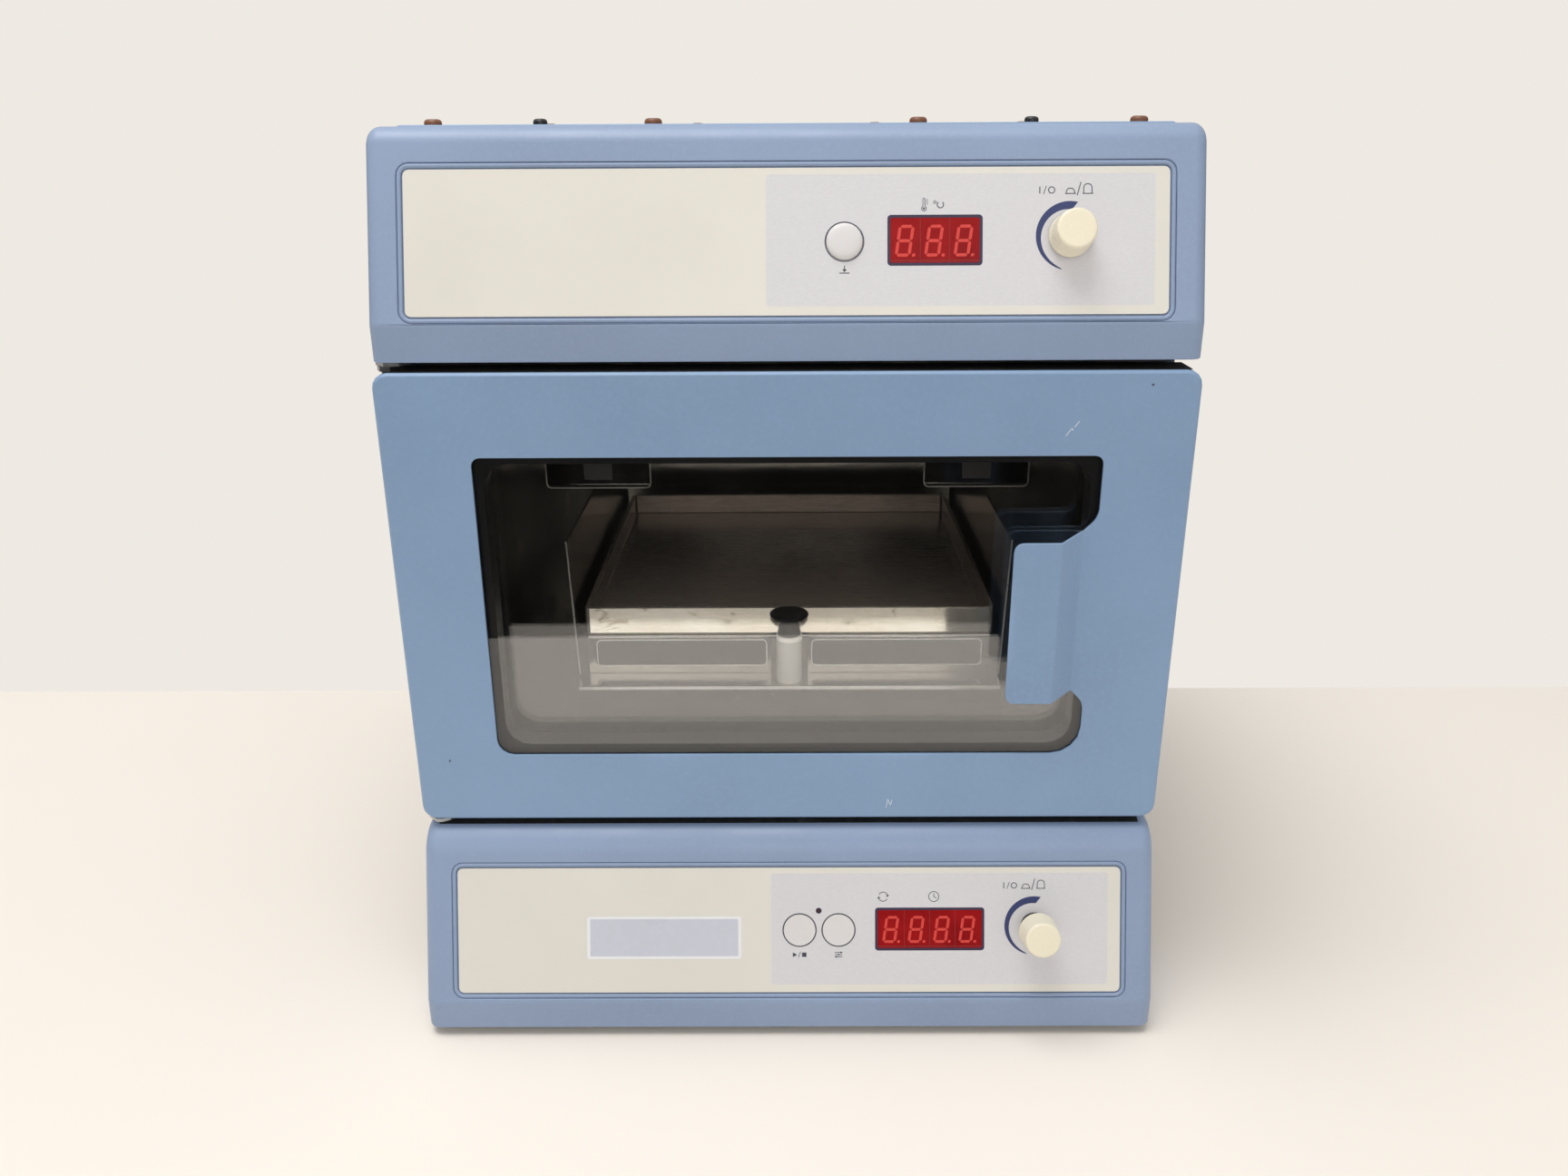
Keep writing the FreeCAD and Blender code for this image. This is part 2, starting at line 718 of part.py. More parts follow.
def chassis_pan(low, front):
    """Floor with turned-up flanges along both sides."""
    floor = block(-CHASSIS_HALF, CHASSIS_HALF, front, REAR_INSIDE, low, low + CHASSIS_SHEET)
    flange = block(
        CHASSIS_HALF - CHASSIS_SHEET, CHASSIS_HALF, CHAMBER_FRONT + FLANGE_SETBACK, REAR_INSIDE,
        low, low + CHASSIS_FLANGE,
    )
    return [floor, flange, mirrored(flange)]


def inlet_place(shape):
    """Set a form drawn in XY on the rear panel, height outwards."""
    turned = shape.copy()
    turned.rotate(Vector(0, 0, 0), Vector(1, 0, 0), -90)
    return moved(turned, INLET_X, REAR_Y, FOOT_HEIGHT + INLET_UP)


def base_chassis():
    pan = join(chassis_pan(FOOT_HEIGHT, BASE_BAND_Y + BEZEL_WALL) + [rear_panel(FOOT_HEIGHT, BASE_TOP)])
    half_w = INLET_BODY_WIDTH / 2 + INLET_FIT
    half_h = INLET_BODY_HEIGHT / 2 + INLET_FIT
    hole = inlet_place(prism(rectangle(-half_w, half_w, -half_h, half_h), -5, 5))
    return pan.cut(hole)


def base_cover():
    low = FOOT_HEIGHT
    outer = block(-CASING_HALF, CASING_HALF, CHAMBER_FRONT, REAR_INSIDE, low, BASE_TOP)
    inner = block(
        -CHASSIS_HALF, CHASSIS_HALF, CHAMBER_FRONT - 1, REAR_INSIDE + 1,
        low - 1, BASE_TOP - CASING_SHEET,
    )
    holes = shaft_passages(BRIDGE_TOP, CHAMBER_FLOOR)
    vents = vent_row(0, lambda i: REAR_Y - VENT_REAR_INSET - i * VENT_PITCH, VENT_COUNT)
    cuts = [moved(v, side * CASING_HALF, 0, BASE_TOP - VENT_DROP) for v in vents for side in (-1, 1)]
    return cut(outer, [inner] + holes + cuts)


def passage(x, y, low, high, radius):
    """Square clearance opening round a turning shaft."""
    half = radius + SHAFT_HOLE_GAP
    return block(x - half, x + half, y - half, y + half, low, high)


def shaft_passages(low, high):
    """Clearance over the drive shaft and the cranks."""
    holes = [passage(0, DRIVE_Y, low, high, SHAFT_RADIUS)]
    for _, x, y in CRANKS:
        holes.append(passage(x, y, low, high, CRANK_RADIUS))
    return holes


def power_inlet():
    """Three-pin appliance inlet with its flange on the rear panel."""
    flange = prism(
        rectangle(
            -INLET_FLANGE_WIDTH / 2, INLET_FLANGE_WIDTH / 2,
            -INLET_FLANGE_HEIGHT / 2, INLET_FLANGE_HEIGHT / 2, 4.0,
        ),
        0, INLET_PROUD,
    )
    body = prism(
        rectangle(
            -INLET_BODY_WIDTH / 2, INLET_BODY_WIDTH / 2,
            -INLET_BODY_HEIGHT / 2, INLET_BODY_HEIGHT / 2,
        ),
        -INLET_DEPTH, 0,
    )
    half_w = INLET_CAVITY_WIDTH / 2
    half_h = INLET_CAVITY_HEIGHT / 2
    chamfer = INLET_CHAMFER
    cavity = prism(
        (
            (-half_w, -half_h, 0), (half_w, -half_h, 0), (half_w, half_h - chamfer, 0),
            (half_w - chamfer, half_h, 0), (chamfer - half_w, half_h, 0),
            (-half_w, half_h - chamfer, 0),
        ),
        INLET_PROUD - INLET_CAVITY_DEPTH, INLET_PROUD + 1,
    )
    floor = INLET_PROUD - INLET_CAVITY_DEPTH
    pins = [
        block(
            x - INLET_PIN_HALF_WIDTH, x + INLET_PIN_HALF_WIDTH,
            y - INLET_PIN_HALF_HEIGHT, y + INLET_PIN_HALF_HEIGHT,
            floor - 0.5, INLET_PROUD - INLET_PIN_SETBACK,
        )
        for x, y in INLET_PINS
    ]
    return inlet_place(join([flange.fuse(body).cut(cavity)] + pins))


def base_storey():
    save("rubber_feet", *feet())
    save("base_chassis", base_chassis())
    save("base_cover", base_cover())
    save("power_inlet", power_inlet())
    display = (BASE_DISPLAY_LEFT, BASE_DISPLAY_RIGHT)
    pads = (START_BUTTON_X, MODE_BUTTON_X)
    moulding = bezel(
        BASE_BAND_Y, FOOT_HEIGHT, BASE_TOP, CHAMBER_FRONT,
        BASE_BAND_HEIGHT, BASE_TILT, BASE_SHOULDER,
    )
    save("base_bezel", finished_bezel(moulding, BASE_PANEL, display, pads))
    save("base_fascia", fascia(BASE_PANEL, display, pads))
    save("base_display", lens(BASE_PANEL, display))
    save("base_digits", digit_module(BASE_PANEL, display, 4))
    save("base_board", control_board(BASE_PANEL, pads, PAD_TRAVEL))
    save("speed_switch", push_switch(BASE_PANEL))
    save("speed_spindle", spindle(BASE_PANEL, True))
    save("speed_knob", knob(BASE_PANEL, True))
    save("start_button", button(BASE_PANEL, START_BUTTON_X, BUTTON_FLUSH))
    save("mode_button", button(BASE_PANEL, MODE_BUTTON_X, BUTTON_FLUSH))


# Orbital drive

WEIGHT_LOW = CHAMBER_FLOOR + 1.0
WEIGHT_HIGH = WEIGHT_LOW + WEIGHT_THICKNESS
SEAT_LOW = WEIGHT_HIGH + 2.0
SEAT_DEPTH = BEARING_DEPTH - BEARING_FLOOR
CRANK_FOOT = BRIDGE_LOW - SEAT_DEPTH
HOUSING_LOW = BRIDGE_LOW - HOUSING_DEPTH


def eccentric(x, y, low, radius):
    """Journal and offset pin, the pin within the journal's outline and to its right."""
    journal = rod(x, y, low, WEIGHT_HIGH, radius)
    tip = SEAT_LOW + SEAT_DEPTH - RUNNING_GAP
    pin = rod(x + ORBIT_RADIUS, y, WEIGHT_HIGH - 1, tip, PIN_RADIUS)
    return [journal, pin]


def drive_shaft():
    """Eccentric shaft with a bar opposite its pin to balance the platform."""
    weight = block(
        -WEIGHT_REACH, WEIGHT_WIDTH / 2, DRIVE_Y - WEIGHT_WIDTH / 2, DRIVE_Y + WEIGHT_WIDTH / 2,
        WEIGHT_LOW, WEIGHT_HIGH,
    )
    return join(eccentric(0, DRIVE_Y, BELT_LEVEL - BELT_HEIGHT, SHAFT_RADIUS) + [weight])


def driven_pulley():
    low = BELT_LEVEL - BELT_HEIGHT / 2
    high = BELT_LEVEL + BELT_HEIGHT / 2
    return tube(0, DRIVE_Y, low, high, DRIVEN_RADIUS, SHAFT_RADIUS)


def flanged_pulley(x, y, radius, bore):
    """Small pulley with a flange under the belt."""
    low = BELT_LEVEL - BELT_HEIGHT / 2
    high = BELT_LEVEL + BELT_HEIGHT / 2
    lip = radius + FLANGE_LIP
    edge = FLANGE_THICKNESS
    corners = (
        (bore, low - edge, 0), (lip, low - edge, 0), (lip, low, 0), (radius, low, 0),
        (radius, high + edge, 0), (bore, high + edge, 0),
    )
    return moved(lathe(corners), x, y)


def belt_outline(radius_a, radius_b):
    """Open belt round two pulleys at (0, 0) and (-MOTOR_OFFSET, 0)."""
    lean = math.asin((radius_a - radius_b) / MOTOR_OFFSET)
    ca = Vector(0, 0, 0)
    cb = Vector(-MOTOR_OFFSET, 0, 0)
    up = Vector(-math.sin(lean), math.cos(lean), 0)
    down = Vector(-math.sin(lean), -math.cos(lean), 0)
    edges = (
        Part.LineSegment(ca + up * radius_a, cb + up * radius_b),
        Part.Arc(cb + up * radius_b, cb + Vector(-radius_b, 0, 0), cb + down * radius_b),
        Part.LineSegment(cb + down * radius_b, ca + down * radius_a),
        Part.Arc(ca + down * radius_a, ca + Vector(radius_a, 0, 0), ca + up * radius_a),
    )
    return Part.Wire([edge.toShape() for edge in edges])


def belt():
    inner_a = DRIVEN_RADIUS + BELT_GAP
    inner_b = MOTOR_PULLEY_RADIUS + BELT_GAP
    height = BELT_HEIGHT - 2 * BELT_GAP
    outer = Part.Face(belt_outline(inner_a + BELT_THICKNESS, inner_b + BELT_THICKNESS))
    inner = Part.Face(belt_outline(inner_a, inner_b))
    band = outer.cut(inner).extrude(Vector(0, 0, height))
    return moved(band, 0, DRIVE_Y, BELT_LEVEL - height / 2)


def drive_bridge():
    """Plate on four pillars that carries every bearing of the drive."""
    front = DRIVE_Y - BRIDGE_HALF_DEPTH
    back = DRIVE_Y + BRIDGE_HALF_DEPTH
    plate = block(-BRIDGE_LEFT, BRIDGE_RIGHT, front, back, BRIDGE_LOW, BRIDGE_TOP)
    half = PILLAR_WIDTH / 2
    pillars = [
        block(x - half, x + half, y - half, y + half, FOOT_HEIGHT + CHASSIS_SHEET, BRIDGE_LOW)
        for x in (PILLAR_INSET - BRIDGE_LEFT, BRIDGE_RIGHT - PILLAR_INSET)
        for y in (front + PILLAR_INSET, back - PILLAR_INSET)
    ]
    holes = shaft_passages(BRIDGE_LOW - 1, BRIDGE_TOP + 1)
    return cut(join([plate] + pillars), holes)


def bearing_block(x, y, width, low, high, bore, bore_low, bore_high):
    half = width / 2
    body = block(x - half, x + half, y - half, y + half, low, high)
    return body.cut(rod(x, y, bore_low, bore_high, bore + RUNNING_GAP))


def fixed_bearings():
    """Housing of the drive shaft, and three blocks with a closed foot for the cranks."""
    blocks = [bearing_block(
        0, DRIVE_Y, HOUSING_WIDTH, HOUSING_LOW, BRIDGE_LOW,
        SHAFT_RADIUS, HOUSING_LOW - 1, BRIDGE_LOW + 1,
    )]
    for _, x, y in CRANKS:
        blocks.append(bearing_block(
            x, y, BEARING_WIDTH, BRIDGE_LOW - BEARING_DEPTH, BRIDGE_LOW,
            CRANK_RADIUS, CRANK_FOOT - RUNNING_GAP, BRIDGE_LOW + 1,
        ))
    return blocks


def drive_motor():
    """Square motor hung under the bridge, bored for the pulley's shaft."""
    low = BRIDGE_LOW - MOTOR_HEIGHT
    half = MOTOR_WIDTH / 2
    corners = rectangle(-half, half, -half, half, 4.0)
    body = moved(prism(corners, low, BRIDGE_LOW), -MOTOR_OFFSET, DRIVE_Y)
    return body.cut(
        rod(-MOTOR_OFFSET, DRIVE_Y, low - 1, BRIDGE_LOW - 2, MOTOR_SHAFT_RADIUS + RUNNING_GAP)
    )


def motor_pulley():
    wheel = flanged_pulley(-MOTOR_OFFSET, DRIVE_Y, MOTOR_PULLEY_RADIUS, MOTOR_SHAFT_RADIUS)
    low = BELT_LEVEL - BELT_HEIGHT / 2 - FLANGE_THICKNESS
    shaft = rod(-MOTOR_OFFSET, DRIVE_Y, low, BRIDGE_LOW - 5, MOTOR_SHAFT_RADIUS)
    return wheel.fuse(shaft).removeSplitter()


def at_orbit(shape):
    """The carriage and what it carries rest to the right of the drive axis."""
    return moved(shape, ORBIT_RADIUS)


def carriage_plate():
    front = TRAY_FRONT - CARRIAGE_NOSE
    back = TRAY_BACK + CARRIAGE_TAIL
    low = CHAMBER_FLOOR + CARRIAGE_FLOOR_GAP
    t = CARRIAGE_SHEET
    bend = CARRIAGE_BEND
    channel = across(prism(
        (
            (front, low, 0), (front, PLATE_TOP, bend), (back, PLATE_TOP, bend), (back, low, 0),
            (back - t, low, 0), (back - t, PLATE_UNDERSIDE, bend - t),
            (front + t, PLATE_UNDERSIDE, bend - t), (front + t, low, 0),
        ),
        -CARRIAGE_HALF, CARRIAGE_HALF,
    ))
    lean = SIDE_PANEL_HEIGHT * math.tan(SIDE_PANEL_FLARE)
    foot = PLATE_UNDERSIDE
    top = PLATE_TOP + SIDE_PANEL_HEIGHT
    side = prism(
        (
            (CARRIAGE_HALF - t, foot, 0), (CARRIAGE_HALF + t, foot, 0),
            (CARRIAGE_HALF + t + lean, top, 0), (CARRIAGE_HALF + lean, top, 0),
            (CARRIAGE_HALF, PLATE_TOP, 0), (CARRIAGE_HALF - t, PLATE_TOP, 0),
        ),
        0, back - CARRIAGE_TAIL / 2 - front - SIDE_PANEL_SETBACK,
    )
    side = on_face(side, back - CARRIAGE_TAIL / 2, 0)
    return at_orbit(join([channel, side, mirrored(side)]))


def carriage_journals():
    yield 0.0, DRIVE_Y
    for _, x, y in CRANKS:
        yield x, y


def carriage_bearings():
    """Blocks under the carriage, each with a blind bore over a crank's pin."""
    return [
        at_orbit(bearing_block(
            x, y, BEARING_WIDTH, SEAT_LOW, PLATE_UNDERSIDE,
            PIN_RADIUS, SEAT_LOW - 1, SEAT_LOW + SEAT_DEPTH,
        ))
        for x, y in carriage_journals()
    ]


def orbital_drive():
    save("drive_bridge", drive_bridge())
    save("fixed_bearings", *fixed_bearings())
    save("drive_motor", drive_motor())
    save("motor_pulley", motor_pulley())
    save("drive_belt", belt())
    save("drive_shaft", drive_shaft())
    save("driven_pulley", driven_pulley())
    for name, x, y in CRANKS:
        save("crank_" + name, join(eccentric(x, y, CRANK_FOOT, CRANK_RADIUS)))
    save("carriage_plate", carriage_plate())
    save("carriage_bearings", *carriage_bearings())


# Platform and its lock

def plate_tray():
    half = TRAY_OUTSIDE / 2
    outer = prism(
        rectangle(-half, half, TRAY_FRONT, TRAY_BACK, TRAY_CORNER), TRAY_UNDERSIDE, TRAY_TOP
    )
    inner = prism(
        rectangle(
            TRAY_WALL - half, half - TRAY_WALL, TRAY_FRONT + TRAY_WALL, TRAY_BACK - TRAY_WALL, 1.5
        ),
        TRAY_FLOOR_TOP, TRAY_TOP + 1,
    )
    return at_orbit(outer.cut(inner))


def tray_support():
    """Folded stand under the tray, its front web pierced and curved round the lock post."""
    t = SUPPORT_SHEET
    half = TRAY_OUTSIDE / 2 - SUPPORT_INSET
    front = TRAY_FRONT - SUPPORT_FORWARD
    back = TRAY_BACK - SUPPORT_FORWARD
    low = PLATE_TOP
    bend = 2.0
    channel = across(prism(
        (
            (front, low, 0), (front, TRAY_UNDERSIDE, bend), (back, TRAY_UNDERSIDE, bend),
            (back, low, 0), (back - t, low, 0), (back - t, TRAY_UNDERSIDE - t, bend - t),
            (front + t, TRAY_UNDERSIDE - t, bend - t), (front + t, low, 0),
        ),
        -half, half,
    ))
    recess = LOCK_RECESS_RADIUS
    lining = rod(0, front, low, TRAY_UNDERSIDE, recess + t).common(
        block(-half, half, front, back, low, TRAY_UNDERSIDE)
    )
    hollow = rod(0, front, low - 1, TRAY_UNDERSIDE + 1, recess)
    windows = [
        on_face(prism(
            rectangle(
                min(side * (recess + t + 1), side * (half - WINDOW_GAP_END)),
                max(side * (recess + t + 1), side * (half - WINDOW_GAP_END)),
                low + WINDOW_GAP_LOW, TRAY_UNDERSIDE - WINDOW_GAP_HIGH, 4.0,
            ),
            -2 * t, 2 * t,
        ), front, 0)
        for side in (-1, 1)
    ]
    return at_orbit(cut(join([channel, lining]), [hollow] + windows))


def lock_barrel():
    """Bored post that stands on the carriage, with a guide ring on top."""
    top = PLATE_TOP + POST_HEIGHT + POST_RING
    post = rod(0, LOCK_Y, PLATE_TOP, top, POST_RADIUS)
    bore = rod(0, LOCK_Y, PLATE_TOP + POST_FLOOR, top + 1, STEM_RADIUS + STEM_BORE_GAP)
    return at_orbit(post.cut(bore))


def lock_knob():
    """Domed cap on its neck."""
    foot = PLATE_TOP + POST_HEIGHT + POST_RING + CAP_GAP
    neck_top = foot + CAP_NECK
    corners = (
        (0, foot, 0), (STEM_RADIUS, foot, 0), (STEM_RADIUS, neck_top + CAP_HEIGHT * 0.25, 0),
        (CAP_RADIUS, neck_top + CAP_HEIGHT * 0.25, 0), (CAP_RADIUS, neck_top + CAP_HEIGHT * 0.6, 0),
        (CAP_RADIUS * 0.6, neck_top + CAP_HEIGHT, 0), (0, neck_top + CAP_HEIGHT, 0),
    )
    return at_orbit(moved(lathe(corners), 0, LOCK_Y))


def lock_pin():
    """Steel pin in the barrel's bore, with the knob pressed against its upper end."""
    foot = PLATE_TOP + POST_HEIGHT + POST_RING + CAP_GAP
    return at_orbit(rod(0, LOCK_Y, foot - STEM_DEPTH, foot, STEM_RADIUS))


def platform():
    save("plate_tray", plate_tray())
    save("tray_support", tray_support())
    save("lock_barrel", lock_barrel())
    save("lock_knob", lock_knob())
    save("lock_pin", lock_pin())


# Chamber

def chamber_liner():
    t = LINER_SHEET
    outer = block(
        -CHAMBER_HALF - t, CHAMBER_HALF + t, CHAMBER_FRONT, CHAMBER_BACK + t,
        CHAMBER_FLOOR - t, CHAMBER_CEILING + t,
    )
    inner = block(
        -CHAMBER_HALF, CHAMBER_HALF, CHAMBER_FRONT - 1, CHAMBER_BACK, CHAMBER_FLOOR, CHAMBER_CEILING
    )
    holes = shaft_passages(CHAMBER_FLOOR - 2 * t, CHAMBER_FLOOR + t)
    return cut(outer, [inner] + holes + fan_passages(CHAMBER_CEILING - t, CHAMBER_CEILING + 2 * t))


def fan_passages(low, high):
    return [passage(x, FAN_Y, low, high, FAN_SHAFT_RADIUS) for x in (-DUCT_X, DUCT_X)]


def insulation():
    t = LINER_SHEET
    outer = block(-CHASSIS_HALF, CHASSIS_HALF, CHAMBER_FRONT, CORE_BACK, CORE_LOW, CORE_HIGH)
    inner = block(
        -CHAMBER_HALF - t, CHAMBER_HALF + t, CHAMBER_FRONT - 1, CHAMBER_BACK + t,
        CHAMBER_FLOOR - t, CHAMBER_CEILING + t,
    )
    holes = shaft_passages(CORE_LOW - 1, CHAMBER_FLOOR)
    return cut(outer, [inner] + holes + fan_passages(CHAMBER_CEILING, CORE_HIGH + 1))


def casing():
    """Sheet wrapped round the sides and the rear."""
    outer = block(-CASING_HALF, CASING_HALF, CHAMBER_FRONT, REAR_Y, BASE_TOP, TOP_BASE)
    inner = block(
        -CHASSIS_HALF, CHASSIS_HALF, CHAMBER_FRONT - 1, REAR_Y - CASING_SHEET,
        BASE_TOP - 1, TOP_BASE + 1,
    )
    return outer.cut(inner)


def front_frame():
    ring = prism(
        rectangle(-CASING_HALF, CASING_HALF, CORE_LOW, CORE_HIGH, 2.0), -FRAME_DEPTH, 0
    )
    lip = FRAME_LIP
    hole = prism(
        rectangle(
            lip - CHAMBER_HALF, CHAMBER_HALF - lip, CHAMBER_FLOOR + lip, CHAMBER_CEILING - lip,
            FRAME_CORNER,
        ),
        -FRAME_DEPTH - 1, 1,
    )
    return on_face(ring.cut(hole), FRAME_Y, 0)


def hinge_bracket(low):
    """Cranked plate with a bored tongue under the hinge pin."""
    right = HINGE_X + HINGE_PLATE_LENGTH
    left = -CHASSIS_HALF + 1
    back = HINGE_Y + HINGE_PLATE_BACK
    tongue = HINGE_TONGUE
    corners = (
        (HINGE_X - tongue, HINGE_Y - tongue, tongue * 0.98),
        (HINGE_X + tongue, HINGE_Y - tongue, tongue * 0.98),
        (HINGE_X + tongue + 8, HINGE_Y + tongue, 4.0),
        (right, HINGE_Y + 9, 2.0), (right, back, 2.0), (left, back, 2.0),
        (left, FRAME_Y, 1.0), (HINGE_X - tongue, FRAME_Y - 4, 2.0),
    )
    plate = prism(corners, low, low + HINGE_PLATE, 1)
    return plate.cut(
        rod(HINGE_X, HINGE_Y, low - 1, low + HINGE_PLATE + 1, HINGE_PIN_RADIUS + RUNNING_GAP)
    )


def chamber():
    save("chamber_liner", chamber_liner())
    save("insulation", insulation())
    save("casing", casing())
    save("front_frame", front_frame())
    save("hinge_brackets", hinge_bracket(BASE_TOP), hinge_bracket(CORE_HIGH))


# Door

WINDOW_LOW = DOOR_LOW + WINDOW_ABOVE_DOOR_FOOT
WINDOW_HIGH = WINDOW_LOW + WINDOW_HEIGHT
TAB_LOW = WINDOW_LOW + TAB_ROOT_LOW
TAB_HIGH = WINDOW_LOW + TAB_ROOT_HIGH


def door_window():
    half = WINDOW_HALF_WIDTH
    bow = WINDOW_SHOULDER_RADIUS
    return prism(
        (
            (-half, WINDOW_LOW, WINDOW_LOW_LEFT_RADIUS), (half, WINDOW_LOW, WINDOW_LOW_RIGHT_RADIUS),
            (half, TAB_LOW - WINDOW_SHOULDER, bow), (TAB_ROOT_X, TAB_LOW, 0),
            (TAB_ROOT_X, TAB_HIGH, 0), (half, TAB_HIGH + WINDOW_SHOULDER, bow),
            (half, WINDOW_HIGH, WINDOW_TOP_RADIUS), (-half, WINDOW_HIGH, WINDOW_TOP_RADIUS),
        ),
        -2 * DOOR_SHEET, DOOR_SHEET,
    )


def door_slab(inset, back, front):
    """The door's outline, set in, from back to front of its thickness."""
    low, high = DOOR_LOW + inset, DOOR_HIGH - inset
    half = FRONT_HALF - inset
    return prism(rectangle(-half, half, low, high, DOOR_CORNER - inset), back, front)


def handle_strip():
    """Strip bent forward out of the door sheet, then a flat pull to put a finger behind."""
    t = DOOR_SHEET
    root = TAB_ROOT_X + 4
    section = (
        (root, 0, 0), (TAB_ROOT_X, 0, 2.0), (TAB_BEND_X, TAB_STAND, 3.0),
        (TAB_END_X, TAB_STAND, 0.5), (TAB_END_X, TAB_STAND - t, 0.5),
        (TAB_BEND_X - 0.6, TAB_STAND - t, 2.0), (TAB_ROOT_X - 0.6, -t, 3.0), (root, -t, 0),
    )
    strip = prism(section, -TAB_HIGH - 1, 1 - TAB_LOW + TAB_SLOPE)
    strip.rotate(Vector(0, 0, 0), Vector(1, 0, 0), 90)
    low, high = TAB_LOW - TAB_SLOPE, TAB_HIGH - TAB_SLOPE
    elevation = prism(
        (
            (root, TAB_LOW, 0), (TAB_ROOT_X, TAB_LOW, 0), (TAB_BEND_X, low, 4.0),
            (TAB_END_X, low, TAB_CORNER), (TAB_END_X, high, TAB_CORNER),
            (TAB_BEND_X, high, 4.0), (TAB_ROOT_X, TAB_HIGH, 0), (root, TAB_HIGH, 0),
        ),
        -5, TAB_STAND + 5,
    )
    return strip.common(elevation)


def door_skin():
    outer = door_slab(0, -DOOR_DEPTH, 0)
    rim = [edge for edge in outer.Edges if abs(edge.BoundBox.ZMin) < 1e-6]
    outer = outer.makeChamfer(DOOR_EDGE, rim)
    inner = door_slab(DOOR_SHEET, -DOOR_DEPTH - 1, -DOOR_SHEET)
    sheet = cut(outer, [inner, door_window()])
    return on_face(join([sheet, handle_strip()]), DOOR_Y, 0)


def pane_outline(overlap, radius):
    half = WINDOW_HALF_WIDTH + overlap
    return rectangle(-half, half, WINDOW_LOW - overlap, WINDOW_HIGH + overlap, radius)


def door_frame():
    """Inner moulding of the door: a rebate in front and one behind, each for a pane."""
    inset = DOOR_SHEET + PANE_GAP
    front = -DOOR_SHEET
    body = door_slab(inset, -DOOR_DEPTH, front)
    rebate = PANE_OVERLAP + PANE_GAP
    depth = PANE_THICKNESS + PANE_INSET
    tools = [
        prism(pane_outline(rebate, 0), front - PANE_THICKNESS, front + 1),
        prism(pane_outline(rebate, 0), -DOOR_DEPTH - 1, depth - DOOR_DEPTH),
        prism(
            pane_outline(-FRAME_OPENING_INSET, FRAME_OPENING_RADIUS), -DOOR_DEPTH - 1, front + 1
        ),
    ]
    return on_face(cut(body, tools), DOOR_Y, 0)


def pane(back):
    sheet = prism(pane_outline(PANE_OVERLAP, 0), back, back + PANE_THICKNESS)
    return on_face(sheet, DOOR_Y, 0)


def door_seal():
    """Gasket round the back of the door."""
    def ring(inset, radius, low, high):
        half = FRONT_HALF - inset
        return prism(
            rectangle(-half, half, DOOR_LOW + inset / 2, DOOR_HIGH - inset / 2, radius), low, high
        )
    outer = ring(SEAL_INSET, 6.0, -DOOR_DEPTH - SEAL_THICKNESS, -DOOR_DEPTH)
    inner_inset = SEAL_INSET + 2 * SEAL_WIDTH
    inner = ring(inner_inset, 3.0, -DOOR_DEPTH - SEAL_THICKNESS - 1, 1 - DOOR_DEPTH)
    return on_face(outer.cut(inner), DOOR_Y, 0)


def hinge_pin(length):
    """Stud with a six-sided shoulder, its foot at height 0 and its end upwards."""
    shoulder = prism(
        polygon(HINGE_SHOULDER_RADIUS, 6), 0, length - HINGE_PLATE - SEAL_GAP
    )
    return join([shoulder, rod(0, 0, 0, length, HINGE_PIN_RADIUS)])


def hinge_pins():
    upper = moved(hinge_pin(TOP_BASE - DOOR_HIGH), HINGE_X, HINGE_Y, DOOR_HIGH)
    lower = hinge_pin(DOOR_LOW - BASE_TOP)
    lower.rotate(Vector(0, 0, 0), Vector(1, 0, 0), 180)
    return [upper, moved(lower, HINGE_X, HINGE_Y, DOOR_LOW)]


def door():
    save("door_skin", door_skin())
    save("door_frame", door_frame())
    save("door_outer_pane", pane(-DOOR_SHEET - PANE_THICKNESS))
    save("door_inner_pane", pane(PANE_INSET - DOOR_DEPTH))
    save("door_seal", door_seal())
    save("hinge_pins", *hinge_pins())


# Heating and air movement

def heater_duct():
    """Folded box under the ceiling, open above, with an outlet grille in its floor."""
    half = DUCT_WIDTH / 2
    back = DUCT_FRONT_Y + DUCT_LENGTH
    outer = block(-half, half, DUCT_FRONT_Y, back, DUCT_FLOOR, CHAMBER_CEILING)

    outer = soften(outer, DUCT_BEND, lambda e: (
        e.BoundBox.YMax < DUCT_FRONT_Y + 1e-6 and e.BoundBox.ZMax < DUCT_FLOOR + 1e-6
    ))
    t = DUCT_SHEET
    inner = block(
        t - half, half - t, DUCT_FRONT_Y + t, back - t, DUCT_FLOOR + t, CHAMBER_CEILING + 1
    )
    pitch = (DUCT_LENGTH - 2 * DUCT_SLOT_WIDTH) / DUCT_SLOTS
    reach = DUCT_SLOT_LENGTH / 2
    slots = []
    for index in range(DUCT_SLOTS):
        start = DUCT_FRONT_Y + DUCT_SLOT_WIDTH + index * pitch + (pitch - DUCT_SLOT_WIDTH) / 2
        slots.append(block(
            -reach, reach, start, start + DUCT_SLOT_WIDTH, DUCT_FLOOR - 1, DUCT_FLOOR + 2 * t
        ))
    return cut(outer, [inner] + slots)


